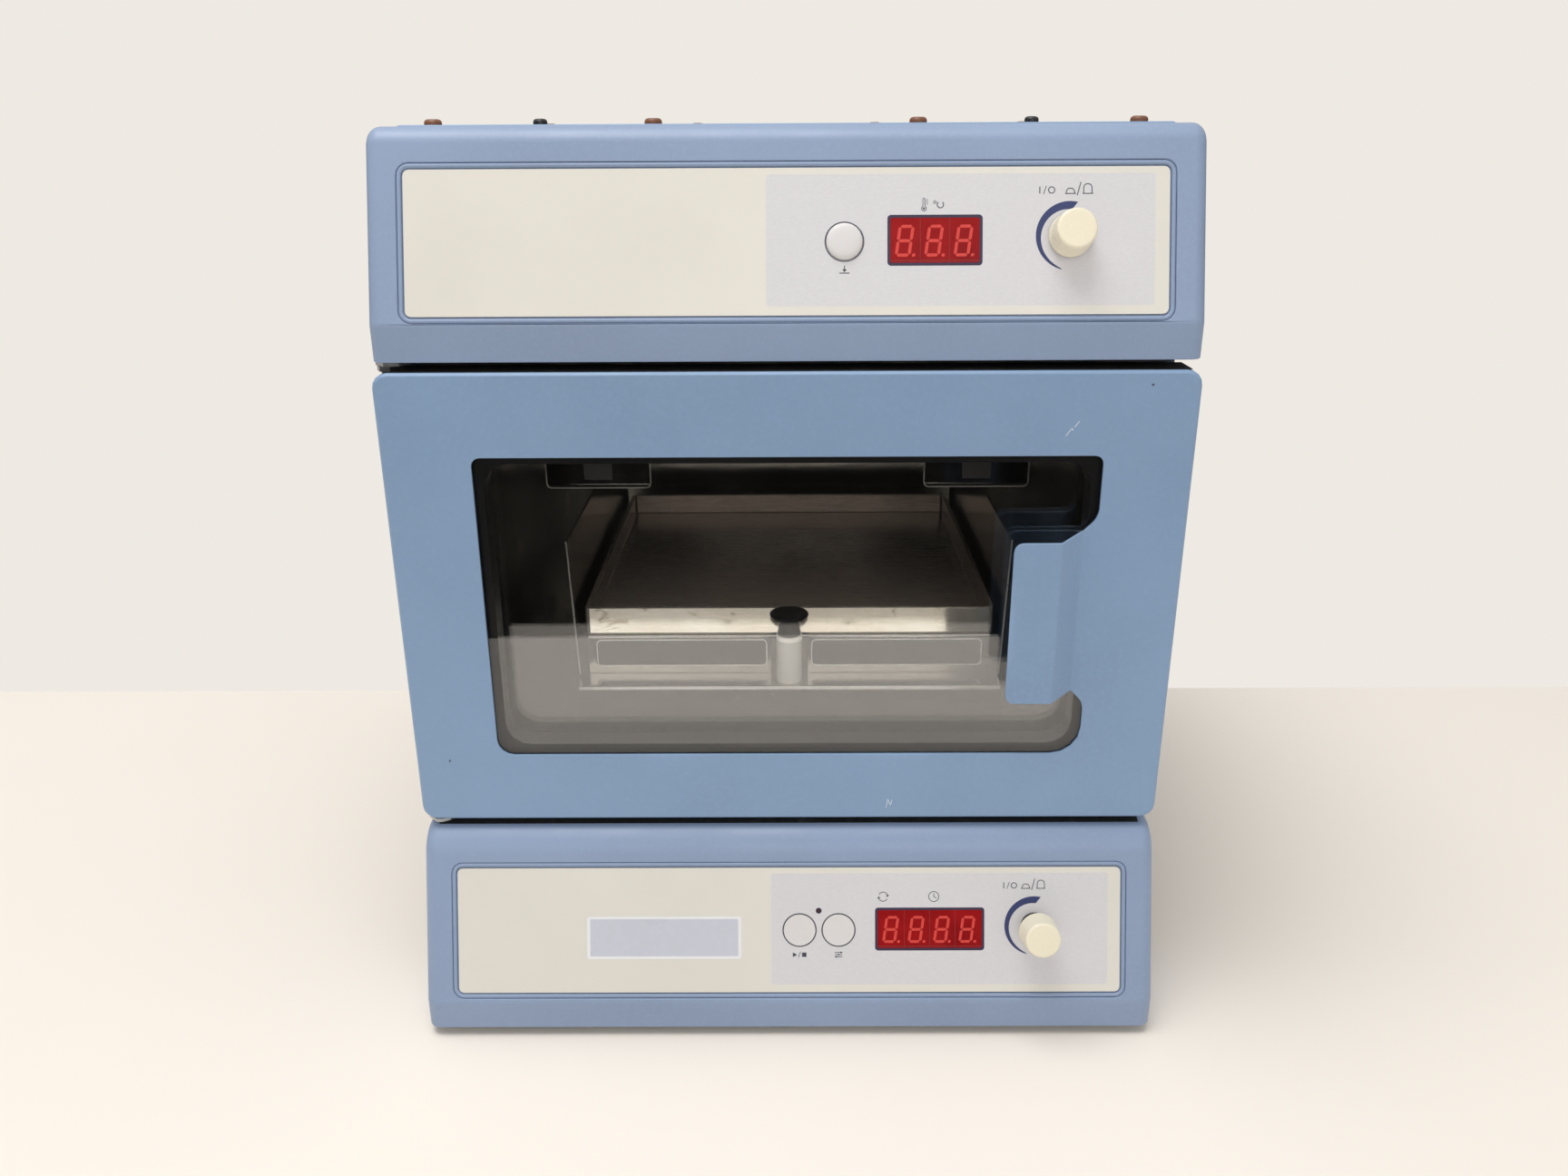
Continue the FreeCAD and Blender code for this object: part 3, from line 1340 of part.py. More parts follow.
def heating_element():
    """Pack of fins between two heated bars, held by the side walls of its duct."""
    low = DUCT_FLOOR + HEATER_ABOVE_RIM
    high = low + HEATER_HEIGHT
    half = DUCT_WIDTH / 2 - DUCT_SHEET
    front = FAN_Y - HEATER_LENGTH / 2
    back = FAN_Y + HEATER_LENGTH / 2
    bar = block(half - HEATER_BAR, half, front, back, low, high)
    pitch = (HEATER_LENGTH - HEATER_FIN_THICKNESS) / (HEATER_FINS - 1)
    fins = []
    for index in range(HEATER_FINS):
        start = front + index * pitch
        fins.append(block(
            HEATER_BAR / 2 - half, half - HEATER_BAR / 2,
            start, start + HEATER_FIN_THICKNESS, low, high,
        ))
    return join([bar, mirrored(bar)] + fins)


def fan_rotor():
    """Shaft, hub and pitched blades, blowing down through its duct."""
    hub_high = CHAMBER_CEILING - FAN_DROP
    hub_low = hub_high - FAN_HUB_HEIGHT
    shaft_top = TOP_BASE + CHASSIS_SHEET + FAN_MOTOR_HEIGHT - 4
    hub = prism(polygon(FAN_HUB_RADIUS, FAN_BLADES), hub_low, hub_high)
    hub.rotate(Vector(0, 0, 0), Vector(0, 0, 1), 180 / FAN_BLADES)
    shaft = rod(0, 0, hub_high, shaft_top, FAN_SHAFT_RADIUS)
    middle = (hub_low + hub_high) / 2
    chord = FAN_HUB_HEIGHT
    blades = []
    for index in range(FAN_BLADES):
        blade = prism(
            rectangle(FAN_HUB_RADIUS - 3, FAN_RADIUS, -chord / 2, chord / 2),
            -FAN_BLADE_THICKNESS / 2, FAN_BLADE_THICKNESS / 2,
        )
        blade.rotate(Vector(0, 0, 0), Vector(1, 0, 0), FAN_PITCH)
        blade.rotate(Vector(0, 0, 0), Vector(0, 0, 1), index * 360 / FAN_BLADES)
        blades.append(moved(blade, 0, 0, middle))
    return moved(join([hub, shaft] + blades), 0, FAN_Y)


def fan_motor():
    low = TOP_BASE + CHASSIS_SHEET
    high = low + FAN_MOTOR_HEIGHT
    half = FAN_MOTOR_WIDTH / 2
    body = block(-half, half, -half, half, low, high)
    bore = rod(0, 0, low - 1, high - FAN_MOTOR_CAP, FAN_SHAFT_RADIUS + RUNNING_GAP)
    return moved(body.cut(bore), 0, FAN_Y)


def heating():
    duct = heater_duct()
    element = heating_element()
    rotor = fan_rotor()
    motor = fan_motor()
    save("heater_ducts", moved(duct, -DUCT_X), moved(duct, DUCT_X))
    save("heating_elements", moved(element, -DUCT_X), moved(element, DUCT_X))
    save("fan_motors", moved(motor, -DUCT_X), moved(motor, DUCT_X))
    save("fan_rotor_left", moved(rotor, -DUCT_X))
    save("fan_rotor_right", moved(rotor, DUCT_X))


# Top storey

def top_chassis():
    pan = join(chassis_pan(TOP_BASE, TOP_BAND_Y + BEZEL_WALL) + [rear_panel(TOP_BASE, COVER_TOP)])
    middle = (TOP_BASE + COVER_TOP - VENT_LENGTH) / 2
    vents = []
    for x in (-DUCT_X, DUCT_X):
        for index in range(-2, 3):
            start = x + index * VENT_PITCH - VENT_WIDTH / 2
            vents.append(block(
                start, start + VENT_WIDTH, REAR_INSIDE - 1, REAR_Y + 1, middle, middle + VENT_LENGTH
            ))
    return cut(pan, vents + fan_passages(TOP_BASE - 1, TOP_BASE + 2 * CHASSIS_SHEET))


def top_cover():
    outer = block(-CASING_HALF, CASING_HALF, TOP_BEZEL_BACK, REAR_INSIDE, TOP_BASE, COVER_TOP)
    outer = soften(outer, COVER_EDGE, lambda e: (
        e.BoundBox.ZMin > COVER_TOP - 1e-6 and e.BoundBox.XLength < 1e-6
    ))
    inner = block(
        -CHASSIS_HALF, CHASSIS_HALF, TOP_BEZEL_BACK - 1, REAR_INSIDE + 1,
        TOP_BASE - 1, COVER_TOP - CASING_SHEET,
    )
    vents = vent_row(0, lambda i: REAR_Y - VENT_REAR_INSET - i * VENT_PITCH, VENT_COUNT)
    cuts = [moved(v, side * CASING_HALF, 0, COVER_TOP - COVER_VENT_DROP) for v in vents for side in (-1, 1)]
    return cut(outer, [inner] + cuts)


def fastener_rows():
    rows = (TOP_BEZEL_BACK + SCREW_BEHIND_BEZEL, REAR_INSIDE - SCREW_REAR_INSET)
    head = prism(polygon(SCREW_HEAD_RADIUS, SCREW_SIDES), 0, SCREW_HEAD_HEIGHT)
    plug = prism(polygon(PLUG_RADIUS, PLUG_SIDES), 0, SCREW_HEAD_HEIGHT)
    screws = [
        moved(head, x, y, COVER_TOP)
        for y in rows
        for x in (-SCREW_OUTER_X, -SCREW_INNER_X, SCREW_INNER_X, SCREW_OUTER_X)
    ]
    plugs = [moved(plug, x, rows[0], COVER_TOP) for x in (-PLUG_X, PLUG_X)]
    return screws, plugs


def top_storey():
    save("top_chassis", top_chassis())
    save("top_cover", top_cover())
    screws, plugs = fastener_rows()
    save("cover_screws", *screws)
    save("cover_plugs", *plugs)
    display = (TOP_DISPLAY_LEFT, TOP_DISPLAY_RIGHT)
    buttons = (SET_BUTTON_X,)
    moulding = bezel(
        TOP_BAND_Y, TOP_BASE, BEZEL_TOP, TOP_BEZEL_BACK,
        TOP_BAND_HEIGHT, TOP_TILT, TOP_SHOULDER,
    )
    save("top_bezel", finished_bezel(moulding, TOP_PANEL, display, buttons))
    save("top_fascia", fascia(TOP_PANEL, display, buttons))
    save("top_display", lens(TOP_PANEL, display))
    save("top_digits", digit_module(TOP_PANEL, display, 3))
    save("top_board", control_board(TOP_PANEL, buttons, BUTTON_TRAVEL))
    save("temperature_switch", push_switch(TOP_PANEL))
    save("temperature_spindle", spindle(TOP_PANEL, False))
    save("temperature_knob", knob(TOP_PANEL, False))
    save("set_button", button(TOP_PANEL, SET_BUTTON_X, BUTTON_DOME))


os.makedirs("parts", exist_ok=True)
base_storey()
orbital_drive()
platform()
chamber()
door()
heating()
top_storey()
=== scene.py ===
import math

import bpy
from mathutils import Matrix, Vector


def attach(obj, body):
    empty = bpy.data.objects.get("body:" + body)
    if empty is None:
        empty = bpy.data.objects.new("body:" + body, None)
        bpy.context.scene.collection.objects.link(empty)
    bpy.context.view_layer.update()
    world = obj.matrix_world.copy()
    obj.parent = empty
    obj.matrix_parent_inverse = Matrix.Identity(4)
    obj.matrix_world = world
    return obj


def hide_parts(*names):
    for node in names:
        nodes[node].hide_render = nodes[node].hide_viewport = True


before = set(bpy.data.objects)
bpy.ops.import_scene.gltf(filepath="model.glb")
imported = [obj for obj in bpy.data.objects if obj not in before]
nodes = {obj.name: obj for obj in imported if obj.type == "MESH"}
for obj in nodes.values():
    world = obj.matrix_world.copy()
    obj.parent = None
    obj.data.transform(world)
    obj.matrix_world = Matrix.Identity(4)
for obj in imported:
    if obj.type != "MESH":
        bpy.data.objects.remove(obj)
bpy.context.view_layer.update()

scene = bpy.context.scene
scene.view_settings.view_transform = "Standard"

MM = 0.001


def screen(red, green, blue):
    """Linear colour of a 0 to 255 screen colour."""

    def linear(value):
        value = value / 255
        if value <= 0.04045:
            return value / 12.92
        return ((value + 0.055) / 1.055) ** 2.4

    return (linear(red), linear(green), linear(blue), 1.0)


def shade(colour, share):
    """The same colour, darker or lighter."""
    return tuple(min(1.0, part * share) for part in colour[:3]) + (1.0,)


# Camera, placed by the calibration on the photo's straight edges
CAMERA_PLACE = (0.0006, -0.7061, 0.429)
CAMERA_DEGREES = (69.65, 0.272, 0.134)
FOCAL_LENGTH = 28.19
camera_data = bpy.data.cameras.new("camera")
camera_data.lens = FOCAL_LENGTH
camera_data.sensor_width = 36.0
camera = bpy.data.objects.new("camera", camera_data)
camera.location = CAMERA_PLACE
camera.rotation_euler = [math.radians(angle) for angle in CAMERA_DEGREES]
scene.collection.objects.link(camera)
scene.camera = camera


# Finishes
class Finish:
    """A node material put together from the object's own coordinates."""

    def __init__(self, name, roughness=0.5, metallic=0.0, coat=0.0, specular=0.5):
        self.material = bpy.data.materials.new(name)
        self.material.use_nodes = True
        self.nodes = self.material.node_tree.nodes
        self.links = self.material.node_tree.links
        self.shader = self.nodes["Principled BSDF"]
        self.shader.inputs["Roughness"].default_value = roughness
        self.shader.inputs["Metallic"].default_value = metallic
        self.shader.inputs["Coat Weight"].default_value = coat
        self.shader.inputs["Specular IOR Level"].default_value = specular
        self.place = self.nodes.new("ShaderNodeTexCoord").outputs["Object"]
        self.normal = None

    def put(self, socket, value):
        if isinstance(value, bpy.types.NodeSocket):
            self.links.new(value, socket)
        else:
            socket.default_value = value

    def stretched(self, along):
        node = self.nodes.new("ShaderNodeMapping")
        self.put(node.inputs["Vector"], self.place)
        node.inputs["Scale"].default_value = along
        return node.outputs["Vector"]

    def noise(self, scale, detail=3.0, along=None, roughness=0.55, distortion=0.0):
        node = self.nodes.new("ShaderNodeTexNoise")
        self.put(node.inputs["Vector"], self.stretched(along) if along else self.place)
        node.inputs["Scale"].default_value = scale
        node.inputs["Detail"].default_value = detail
        node.inputs["Roughness"].default_value = roughness
        node.inputs["Distortion"].default_value = distortion
        return node.outputs[0]

    def cells(self, scale):
        node = self.nodes.new("ShaderNodeTexVoronoi")
        self.put(node.inputs["Vector"], self.place)
        node.inputs["Scale"].default_value = scale
        return node.outputs["Distance"]

    def span(self, value, low, high, start=0.3, end=0.7):
        node = self.nodes.new("ShaderNodeMapRange")
        self.put(node.inputs["Value"], value)
        node.inputs["From Min"].default_value = start
        node.inputs["From Max"].default_value = end
        node.inputs["To Min"].default_value = low
        node.inputs["To Max"].default_value = high
        return node.outputs["Result"]

    def maths(self, operation, first, second=0.0):
        node = self.nodes.new("ShaderNodeMath")
        node.operation = operation
        self.put(node.inputs[0], first)
        self.put(node.inputs[1], second)
        return node.outputs[0]

    def mix(self, share, first, second):
        node = self.nodes.new("ShaderNodeMix")
        node.data_type = "RGBA"
        self.put(node.inputs[0], share)
        self.put(node.inputs[6], first)
        self.put(node.inputs[7], second)
        return node.outputs[2]

    def raise_by(self, height, distance, strength=1.0):
        node = self.nodes.new("ShaderNodeBump")
        self.put(node.inputs["Height"], height)
        node.inputs["Distance"].default_value = distance
        node.inputs["Strength"].default_value = strength
        if self.normal:
            self.put(node.inputs["Normal"], self.normal)
        self.normal = node.outputs["Normal"]

    def done(self, colour=None, roughness=None):
        if colour is not None:
            self.put(self.shader.inputs["Base Color"], colour)
        if roughness is not None:
            self.put(self.shader.inputs["Roughness"], roughness)
        if self.normal:
            self.put(self.shader.inputs["Normal"], self.normal)
        return self.material


def coating(name, colour, roughness=0.4, mottle=0.06, peel=0.00003, grain=650.0, coat=0.0):
    """Paint or moulded plastic: slight mottling, fine surface grain, uneven gloss and a little dust."""
    made = Finish(name, coat=coat)
    cloud = made.span(made.noise(9.0), 0.0, 1.0)
    cloud = made.mix(cloud, shade(colour, 1 - mottle), shade(colour, 1 + mottle))
    speck = made.span(made.noise(grain, 2.0), 0.0, 1.0, 0.45, 0.75)
    tone = made.mix(made.maths("MULTIPLY", speck, 0.35), cloud, shade(colour, 1 + 2.5 * mottle))
    dust = made.span(made.noise(170.0, 4.0, roughness=0.7), 0.0, 0.25, 0.66, 0.74)
    tone = made.mix(dust, tone, shade(colour, 1.35))
    gloss = made.span(made.noise(28.0, 5.0), roughness - 0.06, roughness + 0.07)
    made.raise_by(made.noise(grain, 2.0), peel, 0.6)
    made.raise_by(made.noise(60.0), peel * 2, 0.25)
    return made.done(tone, gloss)


def sheet_metal(name, colour, roughness, along, scratch=0.00002, wear=0.12, metallic=1.0):
    """Rolled or ground metal: long fine grain, cross scratches and dull patches."""
    made = Finish(name, metallic=metallic)
    grain = made.noise(90.0, 6.0, along, 0.65)
    tone = made.mix(made.span(grain, 0.0, 1.0), shade(colour, 1 - wear), shade(colour, 1 + wear / 2))
    patch = made.span(made.noise(14.0, 4.0), 0.0, 1.0, 0.42, 0.68)
    tone = made.mix(made.maths("MULTIPLY", patch, 2.5 * wear), tone, shade(colour, 0.8))
    hair = made.noise(700.0, 2.0, tuple(reversed(along)), 0.5)
    gloss = made.span(grain, roughness - 0.05, roughness + 0.07)
    gloss = made.maths("ADD", gloss, made.maths("MULTIPLY", patch, 0.06))
    made.raise_by(grain, scratch, 0.5)
    made.raise_by(hair, scratch * 0.5, 0.3)
    return made.done(tone, gloss)


def cast_metal(name, colour, roughness=0.45, grain=420.0):
    """Cast or sintered metal with a sandy skin."""
    made = Finish(name, metallic=1.0)
    tone = made.mix(made.span(made.noise(grain, 3.0), 0.0, 1.0), shade(colour, 0.82), shade(colour, 1.08))
    made.raise_by(made.cells(grain), 0.00006, 0.5)
    return made.done(tone, made.span(made.noise(35.0, 4.0), roughness - 0.08, roughness + 0.12))


def rubber(name, colour):
    made = Finish(name, specular=0.3)
    cloud = made.span(made.noise(300.0, 5.0, roughness=0.7), 0.0, 1.0)
    tone = made.mix(cloud, shade(colour, 0.8), shade(colour, 1.6))
    dust = made.span(made.noise(70.0, 6.0, roughness=0.8), 0.0, 0.5, 0.55, 0.75)
    tone = made.mix(dust, tone, screen(92, 90, 88))
    made.raise_by(made.noise(900.0, 3.0), 0.00005, 0.7)
    return made.done(tone, made.span(made.noise(40.0), 0.62, 0.85))


def wool(name, colour):
    """Matted mineral fibres."""
    made = Finish(name, roughness=0.95, specular=0.1)
    fibres = made.noise(160.0, 8.0, (1.0, 6.0, 9.0), 0.8, 2.5)
    tufts = made.cells(45.0)
    tone = made.mix(made.span(fibres, 0.0, 1.0), shade(colour, 0.6), shade(colour, 1.15))
    made.raise_by(fibres, 0.0008, 0.8)
    made.raise_by(tufts, 0.0012, 0.5)
    return made.done(tone)


def board(name):
    """Circuit board with solder mask over copper runs."""
    made = Finish(name, roughness=0.35)
    runs = made.span(made.noise(140.0, 1.0, (1.0, 1.0, 5.0)), 0.0, 1.0, 0.5, 0.53)
    pads = made.span(made.cells(330.0), 1.0, 0.0, 0.14, 0.2)
    tone = made.mix(runs, screen(20, 92, 52), screen(42, 122, 70))
    tone = made.mix(pads, tone, screen(196, 186, 160))
    made.raise_by(runs, 0.00008, 0.6)
    return made.done(tone, made.span(pads, 0.38, 0.22, 0.0, 1.0))


def glass(name, tint, reflection):
    """Float glass: mostly clear, mirror-like at its faces, with faint wiping marks."""
    made = Finish(name)
    clear = made.nodes.new("ShaderNodeBsdfTransparent")
    clear.inputs["Color"].default_value = tint
    mirror = made.nodes.new("ShaderNodeBsdfGlossy")
    mirror.inputs["Color"].default_value = (1.0, 1.0, 1.0, 1.0)
    wiped = made.span(made.noise(24.0, 4.0, (1.0, 1.0, 3.0)), 0.0, 0.035, 0.5, 0.75)
    made.put(mirror.inputs["Roughness"], wiped)
    facing = made.nodes.new("ShaderNodeLayerWeight")
    facing.inputs["Blend"].default_value = 0.35
    share = made.maths("MULTIPLY_ADD", facing.outputs["Fresnel"], 0.9)
    share.node.inputs[2].default_value = reflection
    both = made.nodes.new("ShaderNodeMixShader")
    made.put(both.inputs[0], share)
    made.put(both.inputs[1], clear.outputs[0])
    made.put(both.inputs[2], mirror.outputs[0])
    made.put(made.nodes["Material Output"].inputs["Surface"], both.outputs[0])
    made.nodes.remove(made.shader)
    return made.material


# Control panels, each given by its lower edge and its tilt
class Panel:
    def __init__(self, y, z, tilt):
        self.origin = Vector((0.0, y, z)) * MM
        self.up = Vector((0.0, math.sin(tilt), math.cos(tilt)))
        self.out = Vector((0.0, -math.cos(tilt), math.sin(tilt)))

    def at(self, x, up, out=0.0):
        """Point at x, height up the slope and stand-off, all in millimetres."""
        return self.origin + Vector((x, 0.0, 0.0)) * MM + self.up * (up * MM) + self.out * (out * MM)


BASE_PANEL = Panel(-199.575, 24.945, math.radians(18.0))
TOP_PANEL = Panel(-166.563, 354.827, math.radians(17.6))
FASCIA_FACE = -0.3
PRINT_FACE = -0.27
DIAL = (122.6, 33.5)
GREY_FIELD = (-8.7, 159.3, 3.8, 60.2)

CREAM = screen(218, 215, 207)
PANEL_GREY = screen(208, 207, 211)
INK = screen(58, 60, 76)
NAVY = screen(46, 56, 104)


def fascia_finish(name, panel):
    """Cream foil with a pale grey field printed on it."""
    made = Finish(name)
    split = made.nodes.new("ShaderNodeSeparateXYZ")
    made.put(split.inputs[0], made.place)
    dot = made.nodes.new("ShaderNodeVectorMath")
    dot.operation = "DOT_PRODUCT"
    made.put(dot.inputs[0], made.place)
    dot.inputs[1].default_value = panel.up
    low_x, high_x, low_up, high_up = (value * MM for value in GREY_FIELD)
    corner = 1.5 * MM
    level = made.maths("SUBTRACT", dot.outputs["Value"], panel.origin.dot(panel.up) + (low_up + high_up) / 2)
    aside = made.maths("SUBTRACT", split.outputs["X"], (low_x + high_x) / 2)
    past_x = made.maths("SUBTRACT", made.maths("ABSOLUTE", aside), (high_x - low_x) / 2 - corner)
    past_up = made.maths("SUBTRACT", made.maths("ABSOLUTE", level), (high_up - low_up) / 2 - corner)
    past_x = made.maths("MAXIMUM", past_x, 0.0)
    past_up = made.maths("MAXIMUM", past_up, 0.0)
    square_x = made.maths("MULTIPLY", past_x, past_x)
    square_up = made.maths("MULTIPLY", past_up, past_up)
    square = made.maths("ADD", square_x, square_up)
    field = made.span(made.maths("SQRT", square), 1.0, 0.0, corner - 0.15 * MM, corner + 0.15 * MM)
    cream = made.mix(made.span(made.noise(12.0, 4.0), 0.0, 1.0), shade(CREAM, 0.96), shade(CREAM, 1.02))
    screened = made.span(made.noise(500.0, 2.0, (1.0, 3.0, 3.0)), 0.0, 1.0)
    grey = made.mix(screened, shade(PANEL_GREY, 0.97), shade(PANEL_GREY, 1.03))
    tone = made.mix(field, cream, grey)
    rub = made.span(made.noise(75.0, 6.0, roughness=0.7), 0.0, 0.18, 0.64, 0.78)
    tone = made.mix(rub, tone, screen(190, 186, 176))
    made.raise_by(made.noise(900.0, 2.0), 0.00001, 0.5)
    return made.done(tone, made.span(made.noise(30.0, 4.0), 0.36, 0.5))


def lens_finish(name):
    """Deep red display window, slightly cloudy."""
    made = Finish(name, roughness=0.12, coat=0.05, specular=0.12)
    cloud = made.noise(70.0, 2.0)
    tone = made.mix(made.span(cloud, 0.0, 1.0), screen(134, 18, 22), screen(156, 25, 27))
    fine = made.span(made.noise(1500.0, 1.0), 0.0, 0.25, 0.4, 0.8)
    tone = made.mix(fine, tone, screen(120, 10, 16))
    made.raise_by(made.noise(200.0, 2.0), 0.00001, 0.3)
    return made.done(tone, made.span(made.noise(40.0), 0.1, 0.22))


def print_finish(name, colour):
    """Screen-printed ink with a slightly broken surface."""
    made = Finish(name)
    tone = made.mix(made.span(made.noise(1800.0, 2.0), 0.0, 1.0), shade(colour, 0.85), shade(colour, 1.2))
    made.raise_by(made.noise(1500.0, 2.0), 0.00001, 0.4)
    return made.done(tone, made.span(made.noise(200.0), 0.4, 0.55))


# The tray's lip lies in front of its floor, between these two lines along y, in metres
LIP_LINES = (-0.0757, -0.0752)


def tray_finish(name):
    """Steel tray whose front lip is painted paler than its floor as painted light, and stained, and whose floor
    is dulled by fine scratches.
    """
    made = Finish(name)
    split = made.nodes.new("ShaderNodeSeparateXYZ")
    made.put(split.inputs[0], made.place)
    lip = made.span(split.outputs["Y"], 1.0, 0.0, *LIP_LINES)
    along = (1.0, 11.0, 11.0)
    grain = made.noise(90.0, 6.0, along, 0.65)
    floor = made.mix(made.span(grain, 0.0, 1.0), screen(150, 137, 127), screen(182, 169, 157))
    pits = made.span(made.noise(600.0, 3.0, roughness=0.7), 0.0, 0.7, 0.68, 0.74)
    floor = made.mix(pits, floor, screen(196, 188, 176))
    cloud = made.span(made.noise(30.0, 4.0), 0.0, 1.0)
    # Painted light: the lip's pale cream is a lit copy of the floor's steel, standing for the light the lip
    # catches; the stains mixed into it are real
    lit_lip_tone = made.mix(cloud, screen(238, 226, 204), screen(250, 243, 228))
    stain = made.span(made.noise(58.0, 6.0, (1.0, 1.0, 1.6), 0.65, 0.8), 0.0, 0.75, 0.6, 0.7)
    lit_lip_tone = made.mix(stain, lit_lip_tone, screen(160, 132, 92))
    made.put(made.shader.inputs["Metallic"], made.span(lip, 0.6, 0.8, 0.0, 1.0))
    # The slope turns the lip's shading upwards, so that it mirrors the bright sky
    slope = made.maths("MULTIPLY", lip, -0.5)
    made.raise_by(made.maths("MULTIPLY", split.outputs["Z"], slope), 1.0)
    made.raise_by(grain, 0.000003, 0.5)
    hair = made.noise(500.0, 2.0, (9.0, 1.0, 1.0), 0.5, 1.0)
    made.raise_by(hair, 0.000002, 0.3)
    gloss = made.span(grain, 0.17, 0.25)
    gloss = made.maths("SUBTRACT", gloss, made.maths("MULTIPLY", lip, 0.13))
    return made.done(made.mix(lip, floor, lit_lip_tone), gloss)


BLUE = screen(135, 153, 182)
FINISHES = {
    "blue_moulding": coating("blue_moulding_finish", BLUE, 0.42, 0.05, 0.00003, 520.0),
    "blue_paint": coating("blue_paint_finish", screen(127, 154, 187), 0.38, 0.05, 0.00004, 420.0),
    "black_paint": coating("black_paint_finish", screen(32, 32, 35), 0.45, 0.05, 0.00006, 600.0),
    "cream_panel": coating("cream_key_finish", screen(212, 210, 210), 0.42, 0.02, 0.00001, 900.0),
    "ivory_plastic": coating("ivory_finish", screen(232, 225, 202), 0.33, 0.025, 0.00001, 700.0, 0.15),
    "dark_lens": lens_finish("display_lens_finish"),
    "red_display": print_finish("digit_module_finish", screen(120, 16, 20)),
    "circuit_board": board("circuit_board_finish"),
    "black_plastic": coating("black_plastic_finish", screen(24, 24, 25), 0.36, 0.2, 0.00002, 700.0),
    "black_rubber": rubber("black_rubber_finish", screen(30, 30, 30)),
    "plain_steel": sheet_metal("plain_steel_finish", screen(178, 178, 180), 0.3, (1.0, 1.0, 14.0)),
    "plated_sheet": sheet_metal(
        "plated_sheet_finish", screen(186, 188, 190), 0.34, (1.0, 1.0, 6.0), 0.000012, wear=0.05,
    ),
    "stainless_sheet": sheet_metal(
        "stainless_sheet_finish", screen(186, 182, 174), 0.16, (1.0, 14.0, 18.0), 0.000002, wear=0.05,
    ),
    "polished_steel": sheet_metal(
        "polished_steel_finish", screen(150, 150, 148), 0.08, (1.0, 14.0, 18.0), 0.000001, wear=0.04,
    ),
    "cream_enamel": tray_finish("tray_finish"),
    "chromed_steel": sheet_metal(
        "chromed_steel_finish", screen(236, 233, 226), 0.22, (1.0, 1.0, 20.0), 0.000002, wear=0.05,
    ),
    "cast_aluminium": cast_metal("cast_aluminium_finish", screen(186, 188, 190)),
    "fin_aluminium": sheet_metal("fin_aluminium_finish", screen(204, 206, 208), 0.28, (1.0, 1.0, 12.0)),
    "bearing_bronze": cast_metal("bearing_bronze_finish", screen(172, 136, 84), 0.35, 700.0),
    "mineral_wool": wool("mineral_wool_finish", screen(196, 182, 136)),
    "clear_glass": glass("clear_glass_finish", (0.998, 0.998, 0.998, 1.0), 0.034),
    "brown_screw": coating("brown_screw_finish", screen(118, 74, 50), 0.4, 0.15, 0.00003, 800.0),
}
OWN_FINISHES = {
    "lock_barrel": sheet_metal(
        "lock_barrel_finish", screen(242, 238, 230), 0.16, (16.0, 16.0, 1.0), 0.000001, 0.04, 0.5,
    ),
    "base_fascia": fascia_finish("base_fascia_finish", BASE_PANEL),
    "top_fascia": fascia_finish("top_fascia_finish", TOP_PANEL),
}
for name, node in nodes.items():
    slot_name = node.material_slots[0].material.name.split(".")[0]
    finish = OWN_FINISHES.get(name, FINISHES[slot_name])
    for holder in node.material_slots:
        holder.material = finish

PRINT = print_finish("grey_print_finish", INK)
NAVY_PRINT = print_finish("navy_print_finish", NAVY)
BORDER_PRINT = print_finish("display_border_finish", screen(48, 36, 66))
SEGMENT_PRINT = print_finish("segment_finish", screen(206, 56, 48))
GAP_PRINT = print_finish("segment_gap_finish", screen(128, 16, 20))
LABEL_FOIL = coating("label_foil_finish", screen(197, 200, 212), 0.3, 0.03, 0.00001, 300.0)
LABEL_EDGE = coating("label_edge_finish", screen(228, 230, 233), 0.35, 0.02, 0.00001, 300.0)
DULL_LABEL = coating("dull_label_finish", screen(96, 94, 92), 0.5, 0.08, 0.00001, 600.0)
NYLON = coating("nylon_finish", screen(226, 222, 212), 0.45, 0.03, 0.00001, 500.0)
SCRATCH = coating("scratch_finish", screen(206, 214, 224), 0.55, 0.1, 0.00002, 900.0)
CHIP = coating("chip_finish", screen(66, 76, 96), 0.5, 0.1, 0.00002, 900.0)


# Pieces made in place
def piece(name, points, faces, finish, body, smooth=False, stands_for=()):
    mesh = bpy.data.meshes.new(name)
    mesh.from_pydata([tuple(p) for p in points], [], faces)
    mesh.update()
    made = bpy.data.objects.new(name, mesh)
    scene.collection.objects.link(made)
    mesh.materials.append(finish)
    for polygon in mesh.polygons:
        polygon.use_smooth = smooth
    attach(made, body)
    if stands_for:
        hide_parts(*stands_for)
    return made


def spun(name, centre, axis, profile, finish, body, steps=64, open_ends=False, stands_for=()):
    """Turned form: radius and height pairs, in millimetres, round the axis from the centre.

    Both ends get a disc across them unless open_ends is set.
    """
    axis = Vector(axis).normalized()
    side = axis.orthogonal().normalized()
    other = axis.cross(side)
    points = []
    for radius, height in profile:
        for step in range(steps):
            angle = 2 * math.pi * step / steps
            arm = side * math.cos(angle) + other * math.sin(angle)
            points.append(Vector(centre) + arm * (max(radius, 0.01) * MM) + axis * (height * MM))
    faces = []
    for level in range(len(profile) - 1):
        for step in range(steps):
            after = (step + 1) % steps
            low, high = level * steps, (level + 1) * steps
            faces.append((low + step, low + after, high + after, high + step))
    if not open_ends:
        faces.append(tuple(reversed(range(steps))))
        faces.append(tuple((len(profile) - 1) * steps + step for step in range(steps)))
    made = piece(name, points, faces, finish, body, True, stands_for)
    sharp = made.modifiers.new("edges", "EDGE_SPLIT")
    sharp.split_angle = math.radians(40)
    return made


